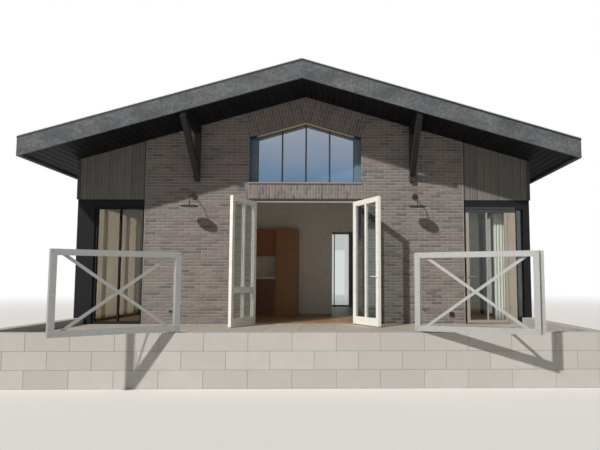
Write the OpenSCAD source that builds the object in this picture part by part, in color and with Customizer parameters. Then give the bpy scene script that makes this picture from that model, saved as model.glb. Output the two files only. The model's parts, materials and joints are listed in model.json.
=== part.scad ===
// Beach house: a low gabled house of brick and dark timber on a block-walled terrace.
// Millimetres, +X to the right of the front, +Y from the front to the back, +Z up.
// The origin is at the ground, in the middle of the ground plan.

/* [House] */
// Width of the house over its side walls
house_w = 8800; // [7800:50:10400]
// Depth of the house over its front and back walls
house_d = 8200; // [7000:50:10000]
// Width of the brick part of the front and back walls
brick_w = 6200; // [5400:50:7000]
// Thickness of the brick walls
brick_t = 350; // [250:10:420]
// Thickness of the timber-clad walls
timber_t = 200; // [140:10:240]
// How far the timber fronts stand back from the brick face
wing_setback = 20; // [0:5:60]
// Height of the door heads and of the side glazing above the floor
head_h = 2400; // [2200:10:2600]
// Height from the floor to the soffit under the ridge
apex_h = 4450; // [4250:10:4900]
// Roof slope in degrees
roof_pitch = 16.1; // [12:0.1:19]

/* [Ground and terrace] */
// Height of the house and terrace floors above the ground
floor_z = 630; // [450:10:900]
// Thickness of the house floor slab
slab_t = 180; // [120:10:250]
// Thickness of the plinth walls under the house
plinth_t = 300; // [200:10:400]
// Depth of the terrace in front of the house
terrace_d = 3400; // [2600:50:4200]
// Thickness of the terrace walls
terrace_wall_t = 200; // [150:10:300]
// How far the terrace walls rise above the terrace floor
upstand = 120; // [40:10:200]
// Thickness of the terrace deck
deck_t = 100; // [60:10:160]

/* [Roof] */
// Overhang of the roof in front
front_overhang = 1240; // [900:10:1500]
// Overhang of the roof at the back
back_overhang = 500; // [300:10:900]
// Overhang of the roof at the eaves
eaves_overhang = 500; // [250:10:800]
// Thickness of the soffit boards, measured upright
soffit_t = 30; // [18:1:50]
// Thickness of the roof deck and covering, measured upright
roof_t = 270; // [150:5:320]
// Upright depth of the bargeboards
barge_h = 360; // [320:5:420]
// Thickness of the bargeboards and eaves boards
barge_t = 45; // [30:1:70]
// How far the bargeboards stand above the roof covering
barge_up = 20; // [5:1:40]
// Thickness of the metal edge trim
trim_t = 4; // [2:0.5:8]
// How far the metal edge trim hangs down outside the boards
trim_drop = 45; // [20:1:80]
// How far the metal edge trim laps back over the roof
trim_lap = 60; // [30:1:120]
// Half width of the ridge cap
ridge_w = 180; // [100:5:260]
// Play at sloped seats and round the panes of the leaves
seat_gap = 0.3; // [0.2:0.1:0.6]

/* [Purlins and brackets] */
// Distance of the purlins and brackets from the middle
bracket_x = 2095; // [1700:5:2500]
// Width of purlins, posts and struts
timber_w = 100; // [70:5:140]
// Depth of the purlins
purlin_h = 160; // [120:5:220]
// Height of the foot of the bracket posts above the floor
bracket_foot = 2750; // [2560:10:2950]
// Thickness of the bracket posts, out from the wall
post_t = 100; // [60:5:140]
// Depth of the struts
strut_h = 110; // [70:5:150]
// Height of the upright cut at the foot of the struts
strut_heel = 90; // [20:5:150]
// How far the struts end behind the ends of the purlins
strut_inset = 30; // [0:5:150]

/* [Gable window] */
// Height of the sill above the floor
sill_h = 2735; // [2600:5:2850]
// Width of the opening in the brick
window_w = 2210; // [1800:10:2500]
// Upright height of brick between the window head and the soffit
band_h = 480; // [400:5:560]
// How far the window stands back from the brick face
window_recess = 240; // [100:5:280]
// Thickness of the window frames, from outside to inside
frame_t = 70; // [50:5:90]
// Width of the gable window frame
frame_w = 30; // [20:2:90]
// Width of the dark panels at the sides of the gable window
side_panel_w = 130; // [60:5:160]
// Width of the window bars
mullion_w = 30; // [20:2:60]
// Thickness of the wooden lining under the window head
lining_t = 12; // [8:1:25]
// How far the lining stands back from the brick face
lining_setback = 25; // [5:5:80]
// Thickness of the glass
glass_t = 24; // [12:1:32]

/* [French doors] */
// Width of the door opening in the brick
door_w = 2070; // [1800:10:2200]
// Width of the door frame
door_frame_w = 45; // [35:1:70]
// Depth of the door frame from front to back
door_frame_d = 130; // [90:5:200]
// Thickness of the door leaves
leaf_t = 56; // [44:1:68]
// Width of the stiles and rails of the leaves
stile_w = 85; // [60:1:110]
// Height of the bottom rail of the leaves
bottom_rail_h = 130; // [90:5:200]
// Height of the glass above the mid rail of the left leaf, from the floor
mid_rail_h = 600; // [500:10:900]
// Gap round the leaves
leaf_gap = 6; // [5:0.5:10]
// Gap under the leaves
leaf_floor_gap = 14; // [12:1:25]
// Height of the threshold plate
threshold_h = 8; // [4:1:8]
// How far the leaves stand back from the front of their frame
leaf_setback = 5; // [2:1:20]
// Angle at which the left leaf stands open
left_leaf_open = 108; // [90:1:160]
// Angle at which the right leaf stands open
right_leaf_open = 116; // [90:1:160]
// Radius of the hinge barrels
barrel_r = 8; // [6:0.5:12]
// Length of one hinge barrel
barrel_l = 60; // [40:5:90]
// Play between hinge barrels
barrel_gap = 0.5; // [0.3:0.1:1]
// Gap between the barrels and the face of the frame
barrel_clear = 1; // [0.5:0.5:3]
// Distance of the hinge axis from the edge of the leaf
hinge_x = 9; // [8:0.5:12]
// Width of the hinge plates
plate_w = 12; // [8:1:20]
// Height of the lever handles above the floor
handle_h = 900; // [850:10:1100]
// Diameter of the lever handles
lever_d = 16; // [12:1:20]
// Length of the lever handles
lever_l = 120; // [100:5:140]
// How far the lever handles stand off the leaf
lever_off = 60; // [45:1:70]
// Diameter of the handle roses
rose_d = 50; // [40:1:60]
// Thickness of the handle roses
rose_t = 8; // [5:1:12]

/* [Wings] */
// Width of the glazed bay in the left wing
bay_w = 970; // [800:10:1050]
// Width of the black jamb beside the brick in the right wing
jamb_w = 40; // [30:1:60]
// Width of the leaf of the side door
side_leaf_w = 816; // [700:2:850]
// Width of the stiles and the head rail of the side door
side_stile_w = 60; // [50:1:90]
// Height of the bottom rail of the side door
side_rail_h = 60; // [40:1:150]
// Width of the post beside the side door
side_post_w = 150; // [80:5:200]
// Width of the narrow light in the right corner panel
corner_light_w = 130; // [60:5:150]
// Distance of the narrow light from the post
corner_light_x = 25; // [15:5:60]
// Height of the beam over the bays
beam_h = 135; // [80:5:180]
// Width of the frames of bays and side glazing
bay_frame_w = 50; // [35:5:80]
// Distance of the first bar of the glazed side walls from the front face
side_bar_y = 1290; // [900:10:1500]
// Spacing of the bars of the glazed side walls
side_pane_w = 1350; // [1000:10:1500]
// Width of the window at the back of each side wall
rear_side_window_w = 1360; // [900:10:1800]
// Sill height of the window at the back of each side wall
rear_side_sill = 900; // [700:10:1200]
// Shortest pane at the end of a glazed side wall
last_pane_w = 300; // [200:50:600]

/* [Inside] */
// Distance of the cross wall from the front face
cross_wall_y = 3500; // [3000:10:4000]
// Thickness of the cross wall
cross_wall_t = 100; // [70:5:150]
// Left edge of the inner doorway, from the middle
inner_door_x = 490; // [300:10:700]
// Width of the inner doorway
inner_door_w = 830; // [700:10:1000]
// Height of the inner doorway
inner_door_h = 2060; // [1950:10:2200]
// Left edge of the tall cabinet, from the middle
cabinet_x0 = -860; // [-1000:10:-700]
// Right edge of the tall cabinet, from the middle
cabinet_x1 = -340; // [-500:10:-200]
// Height of the tall cabinet
cabinet_h = 2090; // [1900:10:2300]
// Depth of the tall and base cabinets
cabinet_d = 600; // [500:10:700]
// Left end of the worktop
worktop_x0 = -2460; // [-2600:10:-1500]
// Height of the worktop
worktop_h = 900; // [850:10:950]
// Thickness of the worktop
worktop_t = 40; // [20:1:60]
// How far the worktop stands out over the base cabinet
worktop_lip = 30; // [10:1:60]
// Underside of the wall cupboard
cupboard_z = 1440; // [1350:10:1600]
// Depth of the wall cupboard
cupboard_d = 350; // [280:10:400]

/* [Curtain] */
// Width of the drawn curtain
curtain_w = 355; // [250:5:600]
// Thickness of the drawn curtain
curtain_t = 70; // [50:5:100]
// Distance of the curtain from the side wall
curtain_end = 100; // [40:5:200]
// Gap between the curtain and the floor
curtain_lift = 15; // [5:1:40]
// Height of the curtain rail above the floor
rail_z = 2340; // [2300:5:2400]
// Diameter of the curtain rail
rail_d = 20; // [14:1:30]
// Distance of the curtain rail from the beam
rail_out = 65; // [50:1:90]
// Width of the brackets of the curtain rail
rail_bracket_w = 14; // [10:1:20]

/* [Lamps] */
// Distance of the wall lamps from the middle
lamp_x = 2150; // [1500:10:2600]
// Height of the lamp shades above the floor
lamp_h = 2230; // [2000:10:2300]
// Height of the lamp rosettes above the floor
rosette_h = 2457; // [2420:1:2600]
// Radius of the bend in the lamp tube
bend_r = 150; // [80:5:180]
// Thickness of the lamp shades
shade_t = 8; // [4:1:15]
// Thickness of the lamp rosettes
rosette_t = 25; // [10:1:40]
// Diameter of the flat lamp shades
shade_d = 330; // [250:5:420]
// How far the middle of the shade stands out from the wall
lamp_out = 390; // [250:5:500]
// Diameter of the lamp tube
tube_d = 18; // [12:1:30]
// Diameter of the lamp rosette
rosette_d = 120; // [70:1:130]

/* [Gates] */
// Distance between the two hinge axes
gate_span = 3310; // [2800:10:3800]
// Place of the middle of the gateway
gate_mid_x = 100; // [-200:5:200]
// Height of the gate leaves
gate_h = 1070; // [900:10:1300]
// Width of the square tubes of the gates
gate_tube = 76; // [72:2:100]
// Wall of the square tubes of the gates
gate_tube_wall = 4; // [3:0.5:6]
// Gap between the two leaves when they are shut
gate_gap = 12; // [10:1:30]
// Gap between the gate leaves and the top of the terrace wall
gate_lift = 20; // [15:1:60]
// Width of the flat braces
brace_w = 40; // [30:2:70]
// Thickness of the flat braces
brace_t = 8; // [5:1:12]
// Distance of the ends of the braces from the stiles
brace_inset = 100; // [60:5:250]
// Width of the flat stop strip on the free stile of the right leaf
stop_strip_w = 50; // [30:2:80]
// Thickness of the stop strip
stop_strip_t = 6; // [4:1:12]
// Diameter of the fixed post inside the hinge tube
gate_post_d = 50; // [40:1:50]
// Diameter of the collar that carries the leaf
gate_collar_d = 68; // [56:1:70]
// Thickness of the foot plates of the fixed posts
foot_plate_t = 8; // [5:1:12]
// How far the fixed posts end below the top of the leaves
gate_post_drop = 50; // [20:5:200]
// Angle of the open left leaf, towards the ground in front of the wall
left_gate_angle = 38; // [10:1:80]
// Angle of the open right leaf, towards the ground in front of the wall
right_gate_angle = 25; // [10:1:80]

/* [Hidden] */

brick = "#8d8179";
block = "#c9c6c1";
concrete = "#a9a49c";
charcoal = "#3c3d40";
black = "#1d1f22";
white = "#e9e7e2";
greige = "#a39b90";
galvanised = "#b4b8ba";
oak = "#8a6b4d";
clear = "#9fb4c0";

roof_rise = tan(roof_pitch);
brick_x = brick_w / 2;
house_x = house_w / 2;
inner_x = house_x - timber_t;
roof_x = house_x + eaves_overhang;
door_x = door_w / 2;
window_x = window_w / 2;
gate_axis_y = -terrace_d + gate_tube / 2;
gate_reach = (gate_span - stop_strip_w - gate_gap) / 2;
gate_front = gate_axis_y - gate_reach * sin(left_gate_angle)
    - gate_tube / 2 * cos(left_gate_angle);
roof_front = -front_overhang - barge_t - trim_t - seat_gap;
roof_back = house_d + back_overhang + barge_t + trim_t + seat_gap;
facade_y = -(min(gate_front, roof_front) + roof_back) / 2;
eps = 0.01;

// Height of the underside of the roof above the floor, x from the middle to one side
function slope_z(x) = apex_h - roof_rise * x;
function soffit_z(x) = slope_z(abs(x));
function head_z(x) = soffit_z(x) - band_h;

module on_floor(x = 0, y = 0, z = 0) {
    translate([x, facade_y + y, floor_z + z]) children();
}

module on_ground(x = 0, y = 0, z = 0) {
    translate([x, facade_y + y, z]) children();
}

// An upright panel with its outline in X and Z, from y = 0 to y = thick
module upright(outline, thick) {
    translate([0, thick, 0]) rotate([90, 0, 0])
        linear_extrude(thick) polygon(outline);
}

// A box given by two opposite corners
module block_between(low, high) {
    translate(low) cube(high - low);
}

module mirrored(side) {
    if (side < 0) mirror([1, 0, 0]) children();
    else children();
}

module both_sides() {
    for (side = [-1, 1]) mirrored(side) children();
}

module terrace_front_wall() {
    color(block) on_ground() block_between(
        [-house_x, -terrace_d, 0],
        [house_x, -terrace_d + terrace_wall_t, floor_z + upstand]);
}

module terrace_side_walls() {
    color(block) on_ground() both_sides() block_between(
        [house_x - terrace_wall_t, -terrace_d + terrace_wall_t, 0],
        [house_x, 0, floor_z + upstand]);
}

module terrace_deck() {
    color(concrete) on_ground() block_between(
        [-house_x + terrace_wall_t, -terrace_d + terrace_wall_t, floor_z - deck_t],
        [house_x - terrace_wall_t, 0, floor_z]);
}

module house_plinth() {
    color(block) on_ground() difference() {
        block_between([-house_x, 0, 0], [house_x, house_d, floor_z - slab_t]);
        block_between([-house_x + plinth_t, plinth_t, -eps],
            [house_x - plinth_t, house_d - plinth_t, floor_z]);
    }
}

module floor_slab() {
    color(concrete) on_ground() block_between(
        [-house_x, 0, floor_z - slab_t], [house_x, house_d, floor_z]);
}

module front_wall_side(side) {
    color(brick) on_floor() mirrored(side) upright([
        [door_x, 0], [brick_x, 0], [brick_x, soffit_z(brick_x)],
        [window_x, soffit_z(window_x)], [window_x, sill_h], [door_x, sill_h]
    ], brick_t);
}

module front_wall_left() {
    front_wall_side(-1);
}

module front_wall_right() {
    front_wall_side(1);
}

module front_wall_over_door() {
    color(brick) on_floor() block_between([-door_x, 0, head_h], [door_x, brick_t, sill_h]);
}

module front_wall_over_window() {
    color(brick) on_floor() upright([
        [-window_x, head_z(window_x)], [0, head_z(0)], [window_x, head_z(window_x)],
        [window_x, soffit_z(window_x)], [0, soffit_z(0)], [-window_x, soffit_z(window_x)]
    ], brick_t);
}

module wing_gables() {
    color(charcoal) on_floor(0, wing_setback) both_sides() upright([
        [brick_x, head_h], [house_x, head_h],
        [house_x, soffit_z(house_x)], [brick_x, soffit_z(brick_x)]
    ], timber_t);
}

bay_h = head_h - beam_h;
left_bay_x = brick_x + bay_w;
side_post_x = brick_x + jamb_w + 2 * leaf_gap + side_leaf_w;
right_bay_x = side_post_x + side_post_w;
corner_light_x0 = right_bay_x + corner_light_x;

// Beams over both bays, the right one with the jamb that the side door shuts against
module wing_beams() {
    color(black) on_floor(0, wing_setback) {
        block_between([-left_bay_x, 0, bay_h], [-brick_x, timber_t, head_h]);
        block_between([brick_x, 0, bay_h], [right_bay_x, timber_t, head_h]);
        block_between([brick_x, 0, 0], [brick_x + jamb_w, timber_t, bay_h + eps]);
    }
}

// The outer corners of the wings, the right one with a narrow light cut through it
module corner_panels() {
    color(black) on_floor(0, wing_setback) {
        block_between([-house_x, 0, 0], [-left_bay_x, timber_t, head_h]);
        difference() {
            block_between([right_bay_x, 0, 0], [house_x, timber_t, head_h]);
            block_between([corner_light_x0, -eps, bay_frame_w],
                [corner_light_x0 + corner_light_w, timber_t + eps, bay_h - bay_frame_w]);
        }
    }
}

// A rectangular frame in X and Z with bars, from y = 0 to y = depth
module frame(w, h, bar, depth, bars, bar_w) {
    difference() {
        cube([w, depth, h]);
        translate([bar, -eps, bar]) cube([w - 2 * bar, depth + 2 * eps, h - 2 * bar]);
    }
    for (x = bars)
        translate([x - bar_w / 2, 0, bar - eps])
            cube([bar_w, depth, h - 2 * bar + 2 * eps]);
}

module left_bay_frame() {
    color(black) on_floor(-left_bay_x, wing_setback + frame_t / 2)
        frame(bay_w, bay_h, bay_frame_w, frame_t, [bay_w / 2], mullion_w);
}

// Two panes of the left bay and the pane of the narrow light on the right
module wing_glass() {
    pane_w = bay_w / 2 - mullion_w / 2 - bay_frame_w;
    color(clear, 0.5) on_floor(0, wing_setback + frame_t, bay_frame_w) {
        for (x = [-left_bay_x + bay_frame_w, -brick_x - bay_frame_w - pane_w])
            translate([x, 0, 0]) cube([pane_w, glass_t, bay_h - 2 * bay_frame_w]);
        translate([corner_light_x0, 0, 0])
            cube([corner_light_w, glass_t, bay_h - 2 * bay_frame_w]);
    }
}

// A hinged leaf that lies in X from -w to 0, its outer face at y = 0, with one upright
// bar, stiles and head rail of one width and, where rail_z is not 0, a mid rail
module leaf_frame(w, h, stile, foot, rail_z = 0) {
    opening_h = h - foot - stile;
    difference() {
        translate([-w, 0, 0]) cube([w, leaf_t, h]);
        translate([-w + stile, -eps, foot])
            cube([w - 2 * stile, leaf_t + 2 * eps, opening_h]);
    }
    translate([-w / 2 - mullion_w / 2, 0, foot - eps])
        cube([mullion_w, leaf_t, opening_h + 2 * eps]);
    if (rail_z > 0)
        translate([-w + stile - eps, 0, rail_z])
            cube([w - 2 * stile + 2 * eps, leaf_t, stile]);
}

// The panes of such a leaf, with a little play in their frame
module leaf_panes(w, h, stile, foot, rail_z = 0) {
    pane_w = w / 2 - stile - mullion_w / 2 - 2 * seat_gap;
    rows = rail_z > 0
        ? [[foot, rail_z], [rail_z + stile, h - stile]]
        : [[foot, h - stile]];
    for (x = [-w + stile, -w / 2 + mullion_w / 2], row = rows)
        translate([x + seat_gap, leaf_t / 2 - glass_t / 2, row[0] + seat_gap])
            cube([pane_w, glass_t, row[1] - row[0] - 2 * seat_gap]);
}

// Places what belongs to a leaf from its hinge axis
module in_leaf() {
    translate([-hinge_x, hinge_y, leaf_floor_gap]) children();
}

// Heights of the feet of the hinges, and the place of their axis before the leaf
barrel_heights = [250, 1180, 2050];
hinge_y = barrel_r + barrel_clear + leaf_setback;
jamb_x = hinge_x - leaf_gap;

// Barrels on the hinge axis at the origin, each with a plate of the given outline
module barrels(z_shift, plate) {
    for (z = barrel_heights)
        translate([0, 0, z + z_shift]) {
            cylinder(h = barrel_l, r = barrel_r, $fn = 32);
            linear_extrude(barrel_l) polygon(plate);
        }
}

// The part on the frame: its plate runs from the barrel onto the face of the jamb
module frame_barrels() {
    barrels(0, [[0, 0], [jamb_x + plate_w, 0], [jamb_x + plate_w, hinge_y],
        [-jamb_x, hinge_y], [-jamb_x, 0]]);
}

// The part on the leaf: its plate passes in front of the jamb and lies on the stile
module leaf_barrels() {
    barrels(barrel_l + barrel_gap, [[0, 0], [0, barrel_r], [-hinge_x, barrel_r],
        [-hinge_x, hinge_y], [-hinge_x - plate_w, hinge_y], [-hinge_x - plate_w, 0]]);
}

// A lever handle on the face y = 0, pointing out along -Y and then along +X
module lever() {
    rotate([90, 0, 0]) cylinder(h = rose_t, d = rose_d, $fn = 48);
    rotate([90, 0, 0]) cylinder(h = lever_off, d = lever_d, $fn = 32);
    translate([0, -lever_off + lever_d / 2, 0]) rotate([0, 90, 0])
        cylinder(h = lever_l, d = lever_d, $fn = 32);
}

// Handles on both faces of a leaf, on its free stile
module levers(leaf_w, stile) {
    translate([-hinge_x - leaf_w + stile / 2, hinge_y, handle_h]) {
        lever();
        translate([0, leaf_t, 0]) mirror([0, 1, 0]) lever();
    }
}

french_leaf_w = door_x - door_frame_w - 2 * leaf_gap;
french_leaf_h = head_h - door_frame_w - leaf_gap - leaf_floor_gap;
french_hinge_x = door_x - door_frame_w - leaf_gap + hinge_x;
french_hinge_y = leaf_setback - hinge_y;

module french_door_frame() {
    color(white) on_floor() {
        difference() {
            block_between([-door_x, 0, 0], [door_x, door_frame_d, head_h]);
            block_between([-door_x + door_frame_w, -eps, threshold_h],
                [door_x - door_frame_w, door_frame_d + eps, head_h - door_frame_w]);
        }
        both_sides() translate([french_hinge_x, french_hinge_y, 0]) frame_barrels();
    }
}

module french_leaf(rail_z = 0) {
    in_leaf() leaf_frame(french_leaf_w, french_leaf_h, stile_w, bottom_rail_h, rail_z);
    leaf_barrels();
}

module french_panes(rail_z = 0) {
    in_leaf() leaf_panes(french_leaf_w, french_leaf_h, stile_w, bottom_rail_h, rail_z);
}

module at_right_hinge() {
    on_floor(french_hinge_x, french_hinge_y) rotate([0, 0, right_leaf_open]) children();
}

module at_left_hinge() {
    on_floor(-french_hinge_x, french_hinge_y) rotate([0, 0, -left_leaf_open])
        mirror([1, 0, 0]) children();
}

module right_french_leaf() {
    color(white) at_right_hinge() {
        french_leaf();
        levers(french_leaf_w, stile_w);
    }
}

module right_leaf_glass() {
    color(clear, 0.5) at_right_hinge() french_panes();
}

module left_french_leaf() {
    color(white) at_left_hinge() french_leaf(mid_rail_h);
}

module left_leaf_glass() {
    color(clear, 0.5) at_left_hinge() french_panes(mid_rail_h);
}

side_leaf_h = bay_h - door_frame_w - leaf_gap - leaf_floor_gap;
side_hinge_x = side_post_x - leaf_gap + hinge_x;
side_hinge_y = wing_setback + leaf_setback - hinge_y;

// The head and the broad post of the side door
module right_door_frame() {
    color(greige) on_floor(0, wing_setback) {
        block_between([brick_x + jamb_w, 0, bay_h - door_frame_w],
            [right_bay_x, door_frame_d, bay_h]);
        block_between([side_post_x, 0, 0], [right_bay_x, door_frame_d, bay_h]);
        translate([side_hinge_x, side_hinge_y - wing_setback, 0]) frame_barrels();
    }
}

module right_door_leaf() {
    color(greige) on_floor(side_hinge_x, side_hinge_y) {
        in_leaf() leaf_frame(side_leaf_w, side_leaf_h, side_stile_w, side_rail_h);
        leaf_barrels();
        levers(side_leaf_w, side_stile_w);
    }
}

module side_leaf_glass() {
    color(clear, 0.5) on_floor(side_hinge_x, side_hinge_y) in_leaf()
        leaf_panes(side_leaf_w, side_leaf_h, side_stile_w, side_rail_h);
}

side_front = wing_setback + timber_t;
side_back = house_d - wing_setback - timber_t;
glazing_end = cross_wall_y;
side_bars = [for (y = [side_bar_y:side_pane_w:glazing_end - last_pane_w]) y - side_front];
side_edges = concat([0], side_bars, [glazing_end - side_front]);
rear_window_y = (glazing_end + side_back) / 2 - rear_side_window_w / 2;

// A timber side wall, with the glazed front part and a window at the back cut through
module side_wall(side) {
    color(charcoal) on_floor() mirrored(side) difference() {
        translate([0, side_front, 0]) upright([
            [inner_x, 0], [house_x, 0], [house_x, soffit_z(house_x)],
            [inner_x, soffit_z(inner_x)]
        ], side_back - side_front);
        block_between([inner_x - eps, side_front - eps, -eps],
            [house_x + eps, glazing_end, head_h]);
        block_between([inner_x - eps, rear_window_y, rear_side_sill],
            [house_x + eps, rear_window_y + rear_side_window_w, head_h]);
    }
}

module left_side_wall() {
    side_wall(-1);
}

module right_side_wall() {
    side_wall(1);
}

// Turns what lies in X so that it lies in Y, at the outer part of both side walls
module in_side_walls() {
    on_floor() both_sides() translate([house_x - frame_t / 2, 0, 0])
        rotate([0, 0, 90]) children();
}

module side_window_frames() {
    color(greige) in_side_walls() {
        translate([side_front, 0, 0])
            frame(glazing_end - side_front, head_h, bay_frame_w, frame_t, side_bars,
                bay_frame_w);
        translate([rear_window_y, 0, rear_side_sill])
            frame(rear_side_window_w, head_h - rear_side_sill, bay_frame_w, frame_t,
                [rear_side_window_w / 2], bay_frame_w);
    }
}

// Panes between the given edges: a full frame at both ends and half a bar between panes
module panes(edges, h, bar_w) {
    last_i = len(edges) - 2;
    for (i = [0:1:last_i]) {
        first = i == 0 ? bay_frame_w : bar_w / 2;
        last = i == last_i ? bay_frame_w : bar_w / 2;
        translate([edges[i] + first, 0, bay_frame_w])
            cube([edges[i + 1] - edges[i] - first - last, glass_t, h - 2 * bay_frame_w]);
    }
}

module side_window_glass() {
    color(clear, 0.5) in_side_walls() translate([0, frame_t / 2 - glass_t / 2, 0]) {
        translate([side_front, 0, 0]) panes(side_edges, head_h, bay_frame_w);
        translate([rear_window_y, 0, rear_side_sill])
            panes([0, rear_side_window_w / 2, rear_side_window_w], head_h - rear_side_sill,
                bay_frame_w);
    }
}

module back_wall() {
    color(brick) on_floor(0, house_d - brick_t) difference() {
        upright([
            [-brick_x, 0], [brick_x, 0], [brick_x, soffit_z(brick_x)],
            [0, apex_h], [-brick_x, soffit_z(brick_x)]
        ], brick_t);
        block_between([-door_x, -eps, -eps], [door_x, brick_t + eps, head_h]);
    }
}

module back_wings() {
    color(charcoal) on_floor(0, side_back) both_sides() upright([
        [brick_x, 0], [house_x, 0], [house_x, soffit_z(house_x)], [brick_x, soffit_z(brick_x)]
    ], timber_t);
}

back_bars = [for (i = [1:3]) i * door_w / 4];

module back_window_frame() {
    color(white) on_floor(-door_x, house_d - frame_t - wing_setback)
        frame(door_w, head_h, bay_frame_w, frame_t, back_bars, mullion_w);
}

module back_window_glass() {
    color(clear, 0.5) on_floor(-door_x, house_d - frame_t / 2 - wing_setback - glass_t / 2)
        panes(concat([0], back_bars, [door_w]), head_h, mullion_w);
}

roof_y0 = -front_overhang;
roof_len = house_d + front_overhang + back_overhang;

// A band that follows the roof slope from x0 to x1, with its underside at z0 and
// its upright thickness t above the soffit line
module slope_band(side, x0, x1, z0, t, y0, len) {
    z = seat_gap + z0;
    on_floor(0, y0) mirrored(side) upright([
        [x0, slope_z(x0) + z], [x1, slope_z(x1) + z],
        [x1, slope_z(x1) + z + t], [x0, slope_z(x0) + z + t]
    ], len);
}

// The boarding under both slopes, in one piece over the ridge line
module soffit() {
    color(black) on_floor(0, roof_y0) upright([
        [-roof_x, slope_z(roof_x) + seat_gap], [0, apex_h + seat_gap],
        [roof_x, slope_z(roof_x) + seat_gap], [roof_x, slope_z(roof_x) + seat_gap + soffit_t],
        [0, apex_h + seat_gap + soffit_t], [-roof_x, slope_z(roof_x) + seat_gap + soffit_t]
    ], roof_len);
}

module left_roof_slope() {
    color(charcoal) slope_band(-1, 0, roof_x, soffit_t, roof_t, roof_y0, roof_len);
}

module right_roof_slope() {
    color(charcoal) slope_band(1, 0, roof_x, soffit_t, roof_t, roof_y0, roof_len);
}

barge_z0 = soffit_t + roof_t + barge_up - barge_h;

module bargeboards(y0) {
    color(charcoal) for (side = [-1, 1])
        slope_band(side, 0, roof_x + barge_t, barge_z0, barge_h, y0, barge_t);
}

module front_bargeboards() {
    bargeboards(-front_overhang - barge_t);
}

module back_bargeboards() {
    bargeboards(house_d + back_overhang);
}

module eaves_boards() {
    color(charcoal) for (side = [-1, 1])
        slope_band(side, roof_x, roof_x + barge_t, barge_z0, barge_h, roof_y0, roof_len);
}

trim_z = barge_z0 + barge_h;

// A folded metal edge: it lies on the boards, laps over the roof and hangs down outside
module roof_edge_trim() {
    color(galvanised) for (side = [-1, 1])
        difference() {
            slope_band(side, 0, roof_x + barge_t + seat_gap + trim_t, trim_z - trim_drop,
                trim_drop + seat_gap + trim_t, roof_y0 - barge_t - trim_t - seat_gap,
                roof_len + 2 * (barge_t + trim_t + seat_gap));
            slope_band(side, -1, roof_x + barge_t + seat_gap, trim_z - 2 * trim_drop,
                2 * trim_drop + seat_gap, roof_y0 - barge_t - seat_gap,
                roof_len + 2 * (barge_t + seat_gap));
            slope_band(side, -1, roof_x - trim_lap, trim_z - trim_drop, 2 * trim_drop,
                roof_y0 + trim_lap, roof_len - 2 * trim_lap);
        }
}

// A folded cap over the ridge, under the edge trim at both ends
module ridge_cap() {
    z = seat_gap + soffit_t + roof_t + seat_gap;
    color(galvanised) on_floor(0, roof_y0) upright([
        [-ridge_w, slope_z(ridge_w) + z], [0, apex_h + z], [ridge_w, slope_z(ridge_w) + z],
        [ridge_w, slope_z(ridge_w) + z + trim_t], [0, apex_h + z + trim_t],
        [-ridge_w, slope_z(ridge_w) + z + trim_t]
    ], roof_len);
}

// Purlins carry the front overhang and end behind the bargeboard
module purlins() {
    x0 = bracket_x - timber_w / 2;
    x1 = bracket_x + timber_w / 2;
    z0 = soffit_z(bracket_x) - purlin_h;
    color(black) both_sides() on_floor(0, roof_y0) upright([
        [x0, z0], [x1, z0], [x1, soffit_z(x1)], [x0, soffit_z(x0)]
    ], front_overhang);
}

// A wall post and a strut that rises outwards from its foot to the end of the purlin
module roof_brackets() {
    top = soffit_z(bracket_x) - purlin_h;
    heel = bracket_foot + strut_heel;
    out = front_overhang - strut_inset;
    angle = atan2(top - heel, out - post_t);
    color(black) both_sides() on_floor(bracket_x - timber_w / 2) rotate([90, 0, 90])
        linear_extrude(timber_w) polygon([
            [0, bracket_foot], [-post_t, bracket_foot], [-post_t, heel],
            [-out, top], [-out + strut_h / sin(angle), top],
            [-post_t, heel + strut_h / cos(angle)], [-post_t, top], [0, top]
        ]);
}

// The head of the gable window opening follows the roof
module gable_outline(inset_x, inset_z) {
    x = window_x - inset_x;
    polygon([
        [-x, sill_h + inset_z], [x, sill_h + inset_z],
        [x, head_z(x) - inset_z], [0, head_z(0) - inset_z], [-x, head_z(x) - inset_z]
    ]);
}

gable_pane_w = (window_x - side_panel_w - frame_w) / 2;

module gable_bars() {
    for (i = [-1:1:1])
        translate([i * gable_pane_w - mullion_w / 2, sill_h]) square([mullion_w, apex_h]);
}

module gable_window_frame() {
    color(black) on_floor(0, window_recess + frame_t) rotate([90, 0, 0])
        linear_extrude(frame_t) {
            difference() {
                gable_outline(0, 0);
                gable_outline(side_panel_w + frame_w, frame_w);
            }
            intersection() {
                gable_outline(0, 0);
                gable_bars();
            }
        }
}

module gable_window_glass() {
    color(clear, 0.5) on_floor(0, window_recess + frame_t / 2 + glass_t / 2) rotate([90, 0, 0])
        linear_extrude(glass_t) difference() {
            gable_outline(side_panel_w + frame_w, frame_w);
            gable_bars();
        }
}

// Thin boards under the brick over the window, from near the brick face to the frame
module gable_window_lining() {
    x = window_x - seat_gap;
    color(oak) on_floor(0, lining_setback) upright([
        [-x, head_z(x) - seat_gap], [-x, head_z(x) - seat_gap - lining_t],
        [0, head_z(0) - seat_gap - lining_t], [x, head_z(x) - seat_gap - lining_t],
        [x, head_z(x) - seat_gap], [0, head_z(0) - seat_gap]
    ], window_recess - lining_setback);
}

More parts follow.
